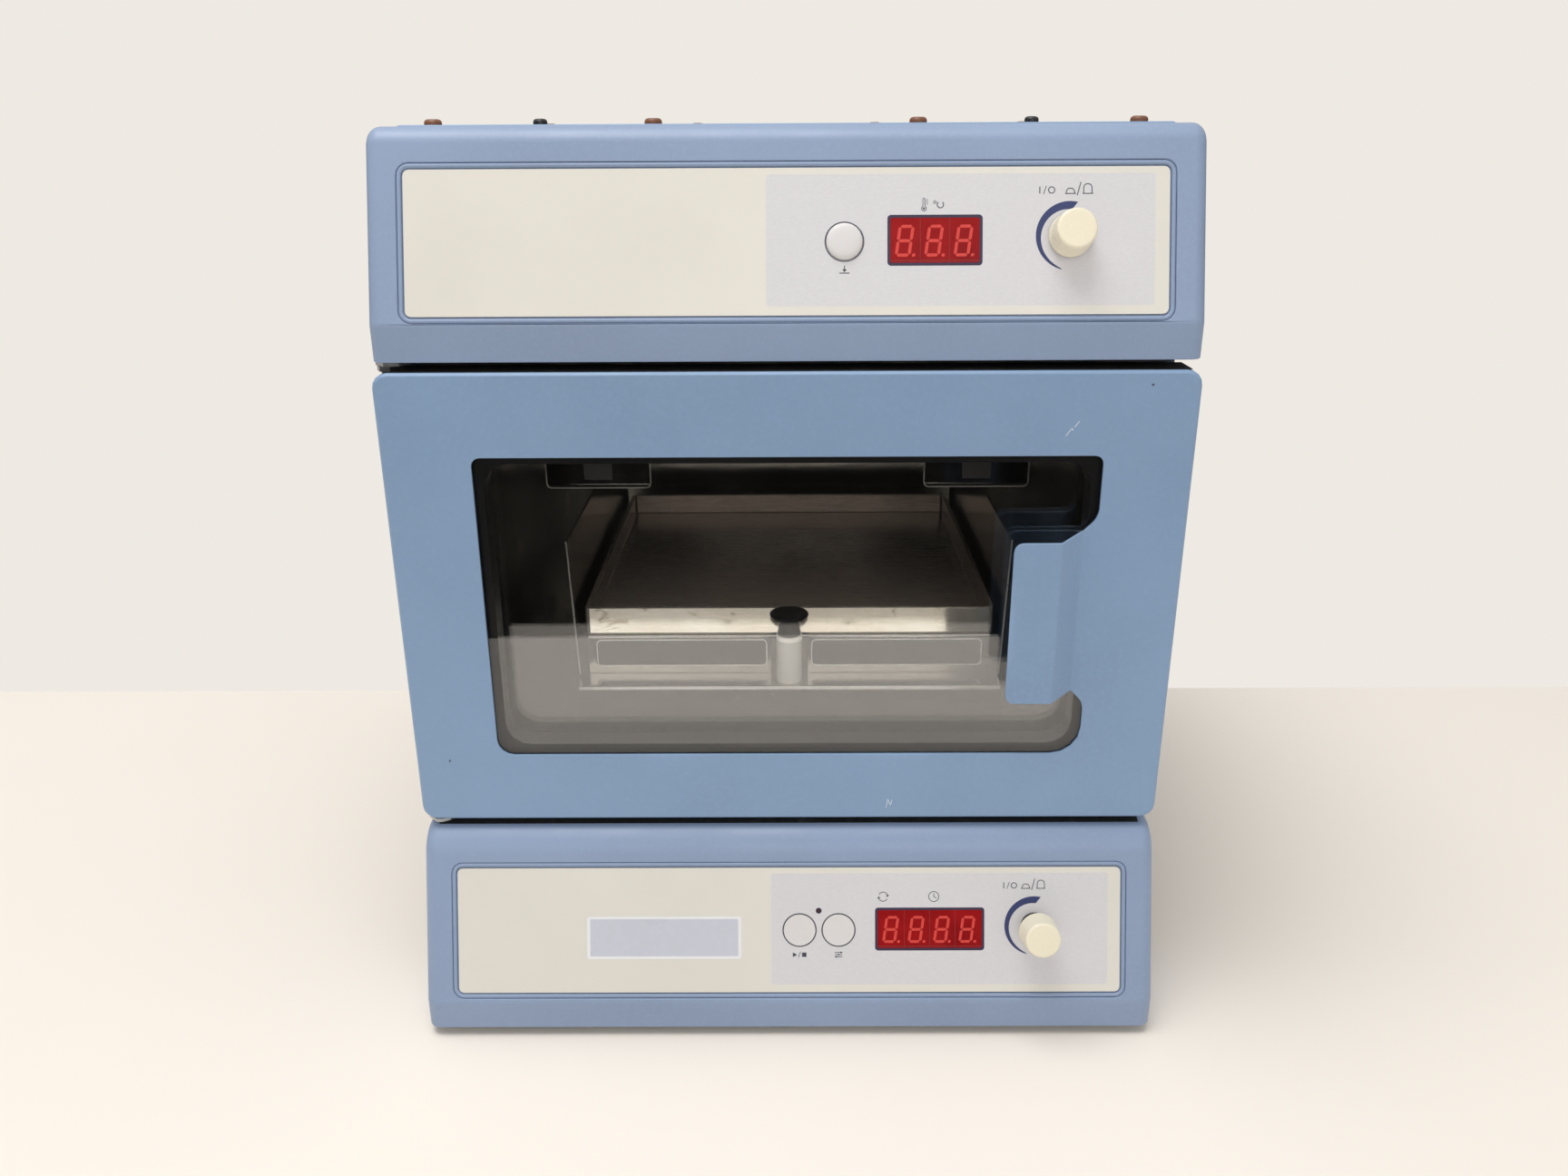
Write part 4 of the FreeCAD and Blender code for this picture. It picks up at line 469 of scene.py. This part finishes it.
def rounded(low_x, high_x, low_up, high_up, corner, steps=8):
    """Corners of a rounded rectangle, anticlockwise from the lower right."""
    found = []
    middles = (
        (high_x - corner, low_up + corner, -90), (high_x - corner, high_up - corner, 0),
        (low_x + corner, high_up - corner, 90), (low_x + corner, low_up + corner, 180),
    )
    for x, up, start in middles:
        for step in range(steps + 1):
            angle = math.radians(start + 90 * step / steps)
            found.append((x + corner * math.cos(angle), up + corner * math.sin(angle)))
    return found


def bead(name, panel, outline, radius, level, finish, body, sides=12):
    """Round bead that follows a closed outline on a panel."""
    points, faces = [], []
    count = len(outline)
    for index, (x, up) in enumerate(outline):
        back, ahead = outline[index - 1], outline[(index + 1) % count]
        way = Vector((ahead[0] - back[0], ahead[1] - back[1])).normalized()
        across = (way.y, -way.x)
        for side in range(sides):
            angle = 2 * math.pi * side / sides
            reach = radius * math.cos(angle)
            height = level + radius * math.sin(angle)
            points.append(panel.at(x + across[0] * reach, up + across[1] * reach, height))
    for index in range(count):
        after = (index + 1) % count
        near, far = index * sides, after * sides
        for side in range(sides):
            turn = (side + 1) % sides
            faces.append((near + side, far + side, far + turn, near + turn))
    return piece(name, points, faces, finish, body, True)


# Shapes of a print, as lists of corners in millimetres
def bar(start, end, width):
    way = Vector((end[0] - start[0], end[1] - start[1])).normalized() * width / 2
    return [
        (start[0] + way.y, start[1] - way.x), (end[0] + way.y, end[1] - way.x),
        (end[0] - way.y, end[1] + way.x), (start[0] - way.y, start[1] + way.x),
    ]


def stroke(points, width):
    return [bar(a, b, width) for a, b in zip(points, points[1:])]


def arc_points(x, up, radius, start, end, steps=24):
    """Points round a circle, in degrees clockwise from the top."""
    found = []
    for step in range(steps + 1):
        angle = math.radians(start + (end - start) * step / steps)
        found.append((x + radius * math.sin(angle), up + radius * math.cos(angle)))
    return found


def ring(x, up, radius, width, start=0.0, end=360.0, steps=48):
    outer = arc_points(x, up, radius + width / 2, start, end, steps)
    inner = arc_points(x, up, radius - width / 2, start, end, steps)
    return [[outer[i], outer[i + 1], inner[i + 1], inner[i]] for i in range(steps)]


def disc(x, up, radius, steps=24):
    return [arc_points(x, up, radius, 0, 360, steps)[:-1]]


def frame_band(outer, inner):
    count = len(outer)
    return [[outer[i], outer[(i + 1) % count], inner[(i + 1) % count], inner[i]] for i in range(count)]


def crescent(x, up):
    """Dial arc that swells from a hair line to a broad slanted end."""
    radius, start, end, steps = 14.8, -166.0, 13.0, 48
    shapes = []
    for step in range(steps):
        pair = []
        for share in (step / steps, (step + 1) / steps):
            angle = math.radians(start + (end - start) * share)
            inward = math.radians(start + (end - 9.0 - start) * share)
            depth = 0.2 + 3.3 * share ** 0.6
            pair.append((
                (x + radius * math.sin(angle), up + radius * math.cos(angle)),
                (x + (radius - depth) * math.sin(inward), up + (radius - depth) * math.cos(inward)),
            ))
        shapes.append([pair[0][0], pair[1][0], pair[1][1], pair[0][1]])
    return shapes


def printed(name, panel, shapes, finish, body, level=PRINT_FACE):
    """Thin print lying on a panel."""
    points, faces = [], []
    for shape in shapes:
        start = len(points)
        points += [panel.at(x, up, level) for x, up in shape]
        faces.append(tuple(range(start, len(points))))
    made = piece(name, points, faces, finish, body)
    for polygon in made.data.polygons:
        if polygon.normal.dot(panel.out) < 0:
            polygon.flip()
    return made


def segments(x, up):
    """Seven slanted segments and a point, unlit."""
    height, width, thick, gap = 13.6, 6.9, 1.35, 0.2
    slant = math.tan(math.radians(8))
    half_w, half_h = (width - thick) / 2, (height - thick) / 2

    def lean(points):
        return [(x + px + pu * slant, up + pu) for px, pu in points]

    def across(level):
        reach, half = half_w - gap, thick / 2
        return lean([
            (-reach, level), (-reach + half, level - half), (reach - half, level - half),
            (reach, level), (reach - half, level + half), (-reach + half, level + half),
        ])

    def upright(side, low, high):
        low, high, half = low + gap, high - gap, thick / 2
        return lean([
            (side, low), (side + half, low + half), (side + half, high - half),
            (side, high), (side - half, high - half), (side - half, low + half),
        ])

    shapes = [across(level) for level in (-half_h, 0.0, half_h)]
    for side in (-half_w, half_w):
        shapes += [upright(side, -half_h, 0.0), upright(side, 0.0, half_h)]
    shapes.append(lean(disc(half_w + 2.0, -half_h, 0.75, 12)[0]))
    return shapes


def push_icons(x, up):
    """Key in and key out, side by side."""
    shapes = stroke([(x - 7.3, up), (x - 2.7, up)], 0.4)
    shapes += stroke(
        [(x - 6.9, up), (x - 6.7, up + 1.2), (x - 5.9, up + 2.2),
         (x - 4.1, up + 2.2), (x - 3.3, up + 1.2), (x - 3.1, up)],
        0.4,
    )
    shapes += stroke([(x - 2.1, up - 0.8), (x - 0.5, up + 4.9)], 0.4)
    shapes += stroke([(x + 0.2, up), (x + 4.8, up)], 0.4)
    shapes += stroke(
        [(x + 0.7, up), (x + 0.7, up + 2.6), (x + 1.1, up + 3.6), (x + 1.9, up + 4.1),
         (x + 3.1, up + 4.1), (x + 3.9, up + 3.6), (x + 4.3, up + 2.6), (x + 4.3, up)],
        0.4,
    )
    return shapes


def on_off(x, up):
    """Bar and ring, the common marks for on and off."""
    return stroke([(x - 3.2, up), (x - 3.2, up + 3.0)], 0.45) + stroke(
        [(x - 1.6, up - 0.3), (x - 0.4, up + 3.3)], 0.3
    ) + ring(x + 1.9, up + 1.5, 1.35, 0.42, steps=20)


def thermometer(x, up):
    shapes = ring(x, up, 1.0, 0.32, 25, 335, 20)
    shapes += stroke(
        [(x - 0.45, up + 0.9), (x - 0.45, up + 4.0), (x, up + 4.5), (x + 0.45, up + 4.0), (x + 0.45, up + 0.9)],
        0.3,
    )
    shapes += disc(x, up, 0.5, 12)
    for level in (1.9, 2.8, 3.7):
        shapes += stroke([(x + 1.0, up + level), (x + 1.8, up + level)], 0.26)
    return shapes


def degrees(x, up):
    return ring(x, up + 2.5, 0.55, 0.3, steps=12) + ring(x + 2.4, up + 1.4, 1.35, 0.42, 40, 320, 18)


def press_mark(x, up):
    """Arrow on to a key."""
    return stroke([(x - 2.2, up - 1.4), (x + 2.2, up - 1.4)], 0.4) + stroke(
        [(x, up + 1.8), (x, up - 0.6)], 0.4
    ) + [[(x - 1.0, up + 0.2), (x + 1.0, up + 0.2), (x, up - 1.0)]]


def start_mark(x, up):
    """Triangle to start and square to stop."""
    return [[(x - 3.4, up - 1.2), (x - 1.2, up), (x - 3.4, up + 1.2)]] + stroke(
        [(x - 0.7, up - 1.5), (x + 0.5, up + 1.5)], 0.3
    ) + [[(x + 1.2, up - 1.1), (x + 3.4, up - 1.1), (x + 3.4, up + 1.1), (x + 1.2, up + 1.1)]]


def mode_mark(x, up):
    shapes = []
    for level in (-1.1, 0.0, 1.1):
        shapes += stroke([(x - 1.9, up + level), (x + 1.9, up + level)], 0.35)
        shapes += disc(x + 1.1 * level, up + level, 0.45, 10)
    return shapes


def turning(x, up):
    """Two arrows chasing each other round."""
    shapes = ring(x, up, 2.3, 0.36, -60, 70, 16) + ring(x, up, 2.3, 0.36, 120, 250, 16)
    for angle, side in ((70, 1), (250, -1)):
        tip = arc_points(x, up, 2.3, angle + 24, angle + 24, 1)[0]
        near = arc_points(x, up, 3.2, angle, angle, 1)[0]
        far = arc_points(x, up, 1.4, angle, angle, 1)[0]
        shapes.append([near, tip, far][::side])
    return shapes


def clock(x, up):
    return ring(x, up, 2.5, 0.34) + stroke([(x, up + 1.6), (x, up), (x + 1.3, up - 0.8)], 0.34)


# Print, displays and beads of the two panels
groove = rounded(-167.3, 167.3, -1.8, 64.8, 4.3)
for storey, panel in (("base", BASE_PANEL), ("top", TOP_PANEL)):
    bead(storey + "_bead", panel, groove, 1.15, -1.2, FINISHES["blue_moulding"], "cabinet")
    printed(storey + "_dial_arc", panel, crescent(*DIAL), NAVY_PRINT, "cabinet")

base_marks = ring(5.4, 31.5, 8.35, 0.42) + ring(24.9, 31.5, 8.35, 0.42)
base_marks += push_icons(123.4, 52.3) + on_off(110.6, 52.3)
base_marks += turning(47.2, 48.3) + clock(72.5, 48.3) + start_mark(5.4, 19.0) + mode_mark(24.9, 19.0)
printed("base_marks", BASE_PANEL, base_marks, PRINT, "cabinet")
top_marks = ring(25.2, 31.4, 8.4, 0.4) + push_icons(127.6, 51.5) + on_off(112.6, 51.5)
top_marks += thermometer(59.5, 45.4) + degrees(64.2, 45.6) + press_mark(25.2, 19.4)
printed("top_marks", TOP_PANEL, top_marks, PRINT, "cabinet")

DIGIT_PITCH = 12.7
for storey, panel, low_x, high_x, centre, count in (
    ("base", BASE_PANEL, 43.65, 97.25, 70.45, 4), ("top", TOP_PANEL, 44.25, 84.35, 64.3, 3),
):
    outer = rounded(low_x - 0.5, high_x + 0.5, 21.05, 42.75, 1.6)
    inner = rounded(low_x + 0.75, high_x - 0.75, 22.3, 41.5, 0.9)
    border = frame_band(outer, inner)
    printed(storey + "_display_border", panel, border, BORDER_PRINT, "cabinet", -0.24)
    middles = [centre + DIGIT_PITCH * (index - (count - 1) / 2) for index in range(count)]
    shapes = [shape for x in middles for shape in segments(x - 0.4, 31.7)]
    printed(storey + "_segments", panel, shapes, SEGMENT_PRINT, "cabinet", -0.27)
    gaps = [bar((x + DIGIT_PITCH / 2, 22.4), (x + DIGIT_PITCH / 2, 41.4), 0.3) for x in middles[:-1]]
    gaps += [bar((low_x + 0.8, 23.2), (high_x - 0.8, 23.2), 0.45)]
    printed(storey + "_segment_gaps", panel, gaps, GAP_PRINT, "cabinet", -0.28)

LAMP = (15.0, 41.3)
LAMP_FINISH = print_finish("run_lamp_finish", screen(52, 22, 26))
for name, shapes, finish, slot, level in (
    ("run_lamp", disc(*LAMP, 1.2), LAMP_FINISH, "dark_lens", -0.26),
    ("run_lamp_ring", ring(*LAMP, 1.35, 0.3, steps=24), NAVY_PRINT, "cream_panel", -0.25),
    ("blank_label", [rounded(-101.0, -23.7, 17.0, 38.6, 1.0)], LABEL_EDGE, "cream_panel", -0.25),
    ("blank_label_foil", [rounded(-99.4, -25.3, 18.4, 37.2, 0.6)], LABEL_FOIL, "cream_panel", -0.23),
):
    printed(name, BASE_PANEL, shapes, finish, "cabinet", level)

# Knobs, the washers round their spindles and the domed key
KNOB = (
    (3.0, 0.0), (9.0, 0.0), (9.45, 0.25), (9.5, 0.8), (9.42, 1.6), (9.2, 1.85), (9.1, 2.2), (8.62, 12.2),
    (8.5, 12.8), (8.2, 13.25), (7.7, 13.46), (7.0, 13.5), (0.0, 13.5),
)
WASHER = ((3.15, 0.0), (6.6, 0.0), (6.6, 0.35), (6.3, 0.6), (3.15, 0.6), (3.15, 0.0))
for storey, panel, stand in (("speed", BASE_PANEL, 9.6), ("temperature", TOP_PANEL, 0.6)):
    spun(
        storey + "_knob_turned", panel.at(*DIAL, stand), panel.out, KNOB, FINISHES["ivory_plastic"],
        storey + "_control_knob", stands_for=(storey + "_knob",),
    )
    spun(
        storey + "_spindle_washer", panel.at(*DIAL, FASCIA_FACE), panel.out, WASHER,
        FINISHES["black_plastic"], "cabinet", open_ends=True,
    )
spun(
    "set_button_cap", TOP_PANEL.at(25.2, 31.5, -0.9), TOP_PANEL.out,
    ((7.9, 0.0), (7.9, 0.9), (7.75, 1.3), (7.2, 1.8), (6.0, 2.15), (4.0, 2.35), (2.0, 2.4), (0.0, 2.4)),
    FINISHES["cream_panel"], "set_key", stands_for=("set_button",),
)

# Mushroom cap of the platform lock
LOCK = Vector((0.75, -87.181, 0.0)) * MM
spun(
    "lock_cap", LOCK + Vector((0, 0, 172.8 * MM)), (0, 0, 1),
    ((5.85, 0.0), (6.2, 0.3), (6.3, 1.2), (5.9, 3.5), (5.9, 7.6), (6.5, 8.8), (8.6, 9.9),
     (10.0, 10.6), (10.5, 11.3), (10.5, 11.9), (10.1, 12.4), (9.2, 12.7), (7.5, 12.8),
     (5.0, 12.9), (2.5, 12.98), (0.0, 13.0)),
    FINISHES["black_plastic"], "lock", stands_for=("lock_knob",),
)

# Blank plates on the two ducts
DUCT_X = 103.0
DUCT_FRONT = -57.2
for index, x in enumerate((-DUCT_X, DUCT_X)):
    outline = rounded(x - 7.8, x + 7.8, 251.8, 266.8, 0.8, 4)
    points = [Vector((px, y, pz)) * MM for y in (DUCT_FRONT - 0.16, DUCT_FRONT) for px, pz in outline]
    count = len(outline)
    faces = [tuple(range(count))]
    faces += [(i + count, (i + 1) % count + count, (i + 1) % count, i) for i in range(count)]
    piece(f"duct_plate_{index + 1}", points, faces, DULL_LABEL, "cabinet")


# Black strips of painted shade in the gaps under and over the door, where the gaps fall dark
def shade_strip(name, half, line, body):
    """Black strip of painted shade from -half to half, along a line of y and z places in millimetres."""
    points = [Vector((x, y, z)) * MM for y, z in line for x in (-half, half)]
    faces = [(n, n + 1, n + 3, n + 2) for n in range(0, len(points) - 2, 2)]
    piece(name, points, faces, FINISHES["black_rubber"], body)


SILL_LINE = [
    (-167.2, 102.93), (-166, 103.32), (-164.5, 103.7), (-163, 103.98), (-161.5, 104.08),
    (-160, 104.12), (-158, 104.12), (-150, 104.12), (-145, 104.12),
]
shade_strip("sill_painted_shade", 176.0, SILL_LINE, "cabinet")
shade_strip("door_top_painted_shade", 178.0, [(-168.9, 331.12), (-160.0, 331.15), (-151.2, 331.15)], "door")


# Scratches and chips in the door's paint
DOOR_FACE = -170.72


def scuff(name, lines, finish, width=0.35):
    """Marks along lines of x and z places in millimetres."""
    points, faces = [], []
    for line in lines:
        for (x0, z0), (x1, z1) in zip(line, line[1:]):
            start = len(points)
            points += [Vector((x, DOOR_FACE, z)) * MM for x, z in bar((x0, z0), (x1, z1), width)]
            faces.append((start, start + 1, start + 2, start + 3))
    piece(name, points, faces, finish, "door")


scuff(
    "door_scratch_upper",
    [[(124.0, 302.0), (126.5, 305.5), (127.2, 304.4)], [(127.6, 306.0), (129.6, 308.6)]],
    SCRATCH,
)
scuff("door_scratch_lower", [[(48.6, 113.6), (49.4, 118.4), (50.8, 115.0), (51.6, 118.0)]], SCRATCH)
scuff("door_chips", [[(160.0, 324.6), (161.1, 324.9)], [(-166.4, 140.0), (-165.8, 141.0)]], CHIP, 0.9)

# Painted highlights: thin bright tubes along the edges of the sheet-metal work inside the chamber, standing for
# the glints on their bends
# Paler copy of the chamber's steel, used only for the painted highlights
GLINT_FINISH = sheet_metal("bright_edge_finish", screen(236, 232, 224), 0.3, (1.0, 1.0, 1.0), 0.000002, 0.06, 0.35)


def glint_line(name, points, radius, body, closed=False):
    """Thin rounded tube along a line of points in millimetres, a painted highlight along an edge."""
    line = bpy.data.curves.new(name, "CURVE")
    line.dimensions = "3D"
    line.bevel_depth = radius * MM
    line.bevel_resolution = 2
    run = line.splines.new("POLY")
    run.points.add(len(points) - 1)
    for point, place in zip(run.points, points):
        point.co = (*(Vector(place) * MM), 1.0)
    run.use_cyclic_u = closed
    made = bpy.data.objects.new(name, line)
    scene.collection.objects.link(made)
    line.materials.append(GLINT_FINISH)
    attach(made, body)


glint_line("apron_glint", [(-114.0, -97.0, 145.3), (115.5, -97.0, 145.3)], 0.7, "carriage")
glint_line(
    "apron_foot_glint", [(-114.0, -97.5, 117.3), (115.5, -97.5, 117.3)], 0.5, "carriage",
)
for side, (foot, head) in (("left", (-115.4, -118.4)), ("right", (116.9, 119.9))):
    line = [(foot, -83.2, 147.0), (head, -83.2, 224.8)]
    glint_line(side + "_panel_glint", line, 0.4, "carriage")
for side, (low_x, high_x) in (("left", (-105.75, -11.75)), ("right", (13.25, 107.25))):
    loop = [(x, -79.2, z) for x, z in rounded(low_x, high_x, 150.7, 166.0, 2.5, 4)]
    glint_line(side + "_web_glint", loop, 0.32, "platform", True)
glint_line(
    "support_bend_glint", [(-110.2, -79.0, 168.3), (111.7, -79.0, 168.3)], 0.4, "platform",
)
for side, x in (("left", -DUCT_X), ("right", DUCT_X)):
    low_x, high_x = x - 28.4, x + 28.4
    run = [(low_x, 312.0), (low_x, 249.6), (low_x + 0.7, 247.9), (low_x + 2.2, 247.2)]
    run += [(high_x - 2.2, 247.2), (high_x - 0.7, 247.9), (high_x, 249.6), (high_x, 312.0)]
    glint_line(side + "_duct_glint", [(px, -57.1, pz) for px, pz in run], 0.4, "cabinet")

# Nylon ring on the post of the lock
spun(
    "post_ring", LOCK + Vector((0, 0, 170.0 * MM)), (0, 0, 1),
    ((7.02, 0.0), (7.25, 0.3), (7.25, 2.1), (7.02, 2.5), (5.9, 2.52)), NYLON, "carriage",
)

# Fasteners on the cover
SCREW = ((4.0, 0.0), (4.0, 0.9), (3.8, 1.6), (3.3, 2.15), (2.5, 2.45), (2.0, 2.5), (1.9, 1.4), (0.0, 1.2))
COVER_TOP = 433.0
COVER_FRONT = -115.681
COVER_REAR = 209.319
FRONT_ROW = COVER_FRONT + 8.5
REAR_ROW = COVER_REAR - 19.0
for row, y in (("front", FRONT_ROW), ("rear", REAR_ROW)):
    for index, x in enumerate((-161.0, -60.4, 60.4, 161.0)):
        made = spun(
            f"cover_screw_{row}_{index + 1}", Vector((x, y, COVER_TOP)) * MM, (0, 0, 1), SCREW,
            FINISHES["brown_screw"], "cabinet", 32,
        )
        if row == "front" and index == 0:
            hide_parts("cover_screws")
for index, x in enumerate((-112.0, 112.0)):
    made = spun(
        f"cover_plug_{index + 1}", Vector((x, FRONT_ROW, COVER_TOP)) * MM, (0, 0, 1),
        ((3.2, 0.0), (3.2, 1.2), (2.9, 1.9), (2.2, 2.35), (1.2, 2.5), (0.0, 2.5)),
        FINISHES["black_plastic"], "cabinet", 32,
    )
    if index == 0:
        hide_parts("cover_plugs")

# Small screws of the rear panels and the casing
PAN_HEAD = ((3.0, 0.0), (3.0, 0.5), (2.8, 1.0), (2.2, 1.4), (1.4, 1.6), (1.2, 0.9), (0.0, 0.8))
REAR_FACE = 210.8
CASING_SIDE = 176.0
CASING_LOW, CASING_HIGH = 104, 335
REAR_SCREWS = [(x, z) for x in (-168.0, 168.0) for z in (14.0, 95.0, 345.0, 424.0)]
REAR_SCREWS += [(x, z) for x in (-168.0, 0.0, 168.0) for z in (114.0, 325.0)] + [(0.0, 345.0), (0.0, 95.0)]
for index, (x, z) in enumerate(REAR_SCREWS):
    slot = "black_paint" if CASING_LOW < z < CASING_HIGH else "plated_sheet"
    spun(
        f"rear_screw_{index + 1:02d}", Vector((x, REAR_FACE, z)) * MM, (0, 1, 0), PAN_HEAD,
        FINISHES[slot], "cabinet", 24,
    )
for side, way in (("left", -1), ("right", 1)):
    for row, z in (("low", 18.0), ("seam", 116.0), ("high", 323.0)):
        for index, y in enumerate((-120.0, 30.0, 196.0)):
            spun(
                f"side_screw_{side}_{row}_{index + 1}", Vector((way * CASING_SIDE, y, z)) * MM,
                (way, 0, 0), PAN_HEAD, FINISHES["black_paint"], "cabinet", 24,
            )


# Softened edges on mouldings and sheet
def soften(name, width):
    node = nodes[name]
    weld = node.modifiers.new("join", "WELD")
    weld.merge_threshold = 0.00001
    edge = node.modifiers.new("edge", "BEVEL")
    edge.width = width * MM
    edge.segments = 2
    edge.limit_method = "ANGLE"
    edge.angle_limit = math.radians(38)
    edge.use_clamp_overlap = False
    even = node.modifiers.new("even", "WEIGHTED_NORMAL")
    even.keep_sharp = False
    even.weight = 60


SOFT_EDGES = {
    "base_bezel": 0.5, "top_bezel": 0.5, "door_skin": 0.35, "rubber_feet": 0.8, "carriage_plate": 0.35,
    "tray_support": 0.3, "heater_ducts": 0.3, "plate_tray": 0.5, "front_frame": 0.3, "door_frame": 0.4,
    "top_cover": 0.6, "base_cover": 0.6, "casing": 0.6, "power_inlet": 0.4,
}
for name, width in SOFT_EDGES.items():
    soften(name, width)


# Bench, in strips: in front of its edge the room is dark in reflections, and behind it the wall is pale
BENCH = screen(243, 236, 227)
WALL = screen(238, 234, 227)
BENCH_EDGE = -0.66
WALL_LINE = 0.211
FAR = 4.0


def ground(name, front, rear, colour, ray=None, kind=None):
    """Strip of the floor; rays of the named sort meet a shader of the other kind instead of its paint."""
    mesh = bpy.data.meshes.new(name)
    corners = [(-FAR, front, 0), (FAR, front, 0), (FAR, rear, 0), (-FAR, rear, 0)]
    mesh.from_pydata(corners, [], [(0, 1, 2, 3)])
    made = bpy.data.objects.new(name, mesh)
    scene.collection.objects.link(made)
    finish = Finish(name + "_finish", roughness=0.75, specular=0.2)
    cloud = finish.span(finish.noise(3.0), 0.0, 1.0)
    finish.done(finish.mix(cloud, shade(colour, 0.985), colour))
    if ray:
        other = finish.nodes.new(kind)
        if kind == "ShaderNodeEmission":
            other.inputs["Color"].default_value = colour
        rays = finish.nodes.new("ShaderNodeLightPath")
        choose = finish.nodes.new("ShaderNodeMixShader")
        finish.put(choose.inputs[0], rays.outputs[ray])
        finish.put(choose.inputs[1], finish.shader.outputs[0])
        finish.put(choose.inputs[2], other.outputs[0])
        finish.put(finish.nodes["Material Output"].inputs["Surface"], choose.outputs[0])
    mesh.materials.append(finish.material)


ground("bench_room", -FAR, BENCH_EDGE, BENCH, "Is Glossy Ray", "ShaderNodeBsdfTransparent")
ground("bench_top", BENCH_EDGE, WALL_LINE, BENCH)
ground("bench_wall", WALL_LINE, FAR, WALL, "Is Camera Ray", "ShaderNodeEmission")

# Light: pale all round, and in reflections dark at the horizon and bright above it
world = bpy.data.worlds.new("room")
scene.world = world
world.use_nodes = True
sky = world.node_tree.nodes
wires = world.node_tree.links
plain = sky["Background"]
plain.inputs["Color"].default_value = (1.0, 0.99, 0.98, 1.0)
plain.inputs["Strength"].default_value = 0.56
seen = sky.new("ShaderNodeBackground")
seen.inputs["Color"].default_value = WALL
seen.inputs["Strength"].default_value = 1.0
dim = sky.new("ShaderNodeBackground")
dim.inputs["Strength"].default_value = 1.0
way = sky.new("ShaderNodeTexCoord")
parts = sky.new("ShaderNodeSeparateXYZ")
lift = sky.new("ShaderNodeMapRange")
lift.inputs["From Min"].default_value = 0.02
lift.inputs["From Max"].default_value = 0.5
lift.inputs["To Min"].default_value = 0.0
lift.inputs["To Max"].default_value = 0.75
height = sky.new("ShaderNodeMix")
height.data_type = "RGBA"
height.inputs[6].default_value = (0.008, 0.0075, 0.007, 1.0)
height.inputs[7].default_value = (1.0, 0.98, 0.95, 1.0)
wires.new(way.outputs["Generated"], parts.inputs[0])
wires.new(parts.outputs["Z"], lift.inputs["Value"])
wires.new(lift.outputs["Result"], height.inputs[0])
wires.new(height.outputs[2], dim.inputs["Color"])
path = sky.new("ShaderNodeLightPath")
first = sky.new("ShaderNodeMixShader")
second = sky.new("ShaderNodeMixShader")
wires.new(path.outputs["Is Glossy Ray"], first.inputs[0])
wires.new(plain.outputs[0], first.inputs[1])
wires.new(dim.outputs[0], first.inputs[2])
wires.new(path.outputs["Is Camera Ray"], second.inputs[0])
wires.new(first.outputs[0], second.inputs[1])
wires.new(seen.outputs[0], second.inputs[2])
wires.new(second.outputs[0], sky["World Output"].inputs["Surface"])


LAMP_COLOUR = (1.0, 0.985, 0.96)


def aimed(made, place, aim):
    made.location = place
    made.rotation_euler = (Vector(aim) - Vector(place)).to_track_quat("-Z", "Y").to_euler()
    scene.collection.objects.link(made)


# Two soft lamps, from above and from the front
def lamp(name, place, aim, size, power):
    data = bpy.data.lights.new(name, "AREA")
    data.color = LAMP_COLOUR
    data.shape = "RECTANGLE"
    data.size, data.size_y = size
    data.energy = power
    aimed(bpy.data.objects.new(name, data), place, aim)


lamp("key_lamp", (-0.4, -0.4, 2.3), (0.0, -0.1, 0.2), (1.5, 1.2), 32.0)
lamp("front_lamp", (0.2, -1.9, 0.9), (0.0, 0.0, 0.2), (1.6, 0.7), 6.0)

# Two small spotlights through the window
for side, x in (("left", -0.05), ("right", 0.05)):
    beam = bpy.data.lights.new(side + "_window_lamp", "SPOT")
    beam.color = LAMP_COLOUR
    beam.energy = 4.2
    beam.spot_size = math.radians(28)
    beam.spot_blend = 1.0
    beam.shadow_soft_size = 0.003
    inside = bpy.data.objects.new(side + "_window_lamp", beam)
    inside.visible_glossy = False
    aimed(inside, (x, -0.36, 0.345), (1.1 * x, -0.09, 0.162))
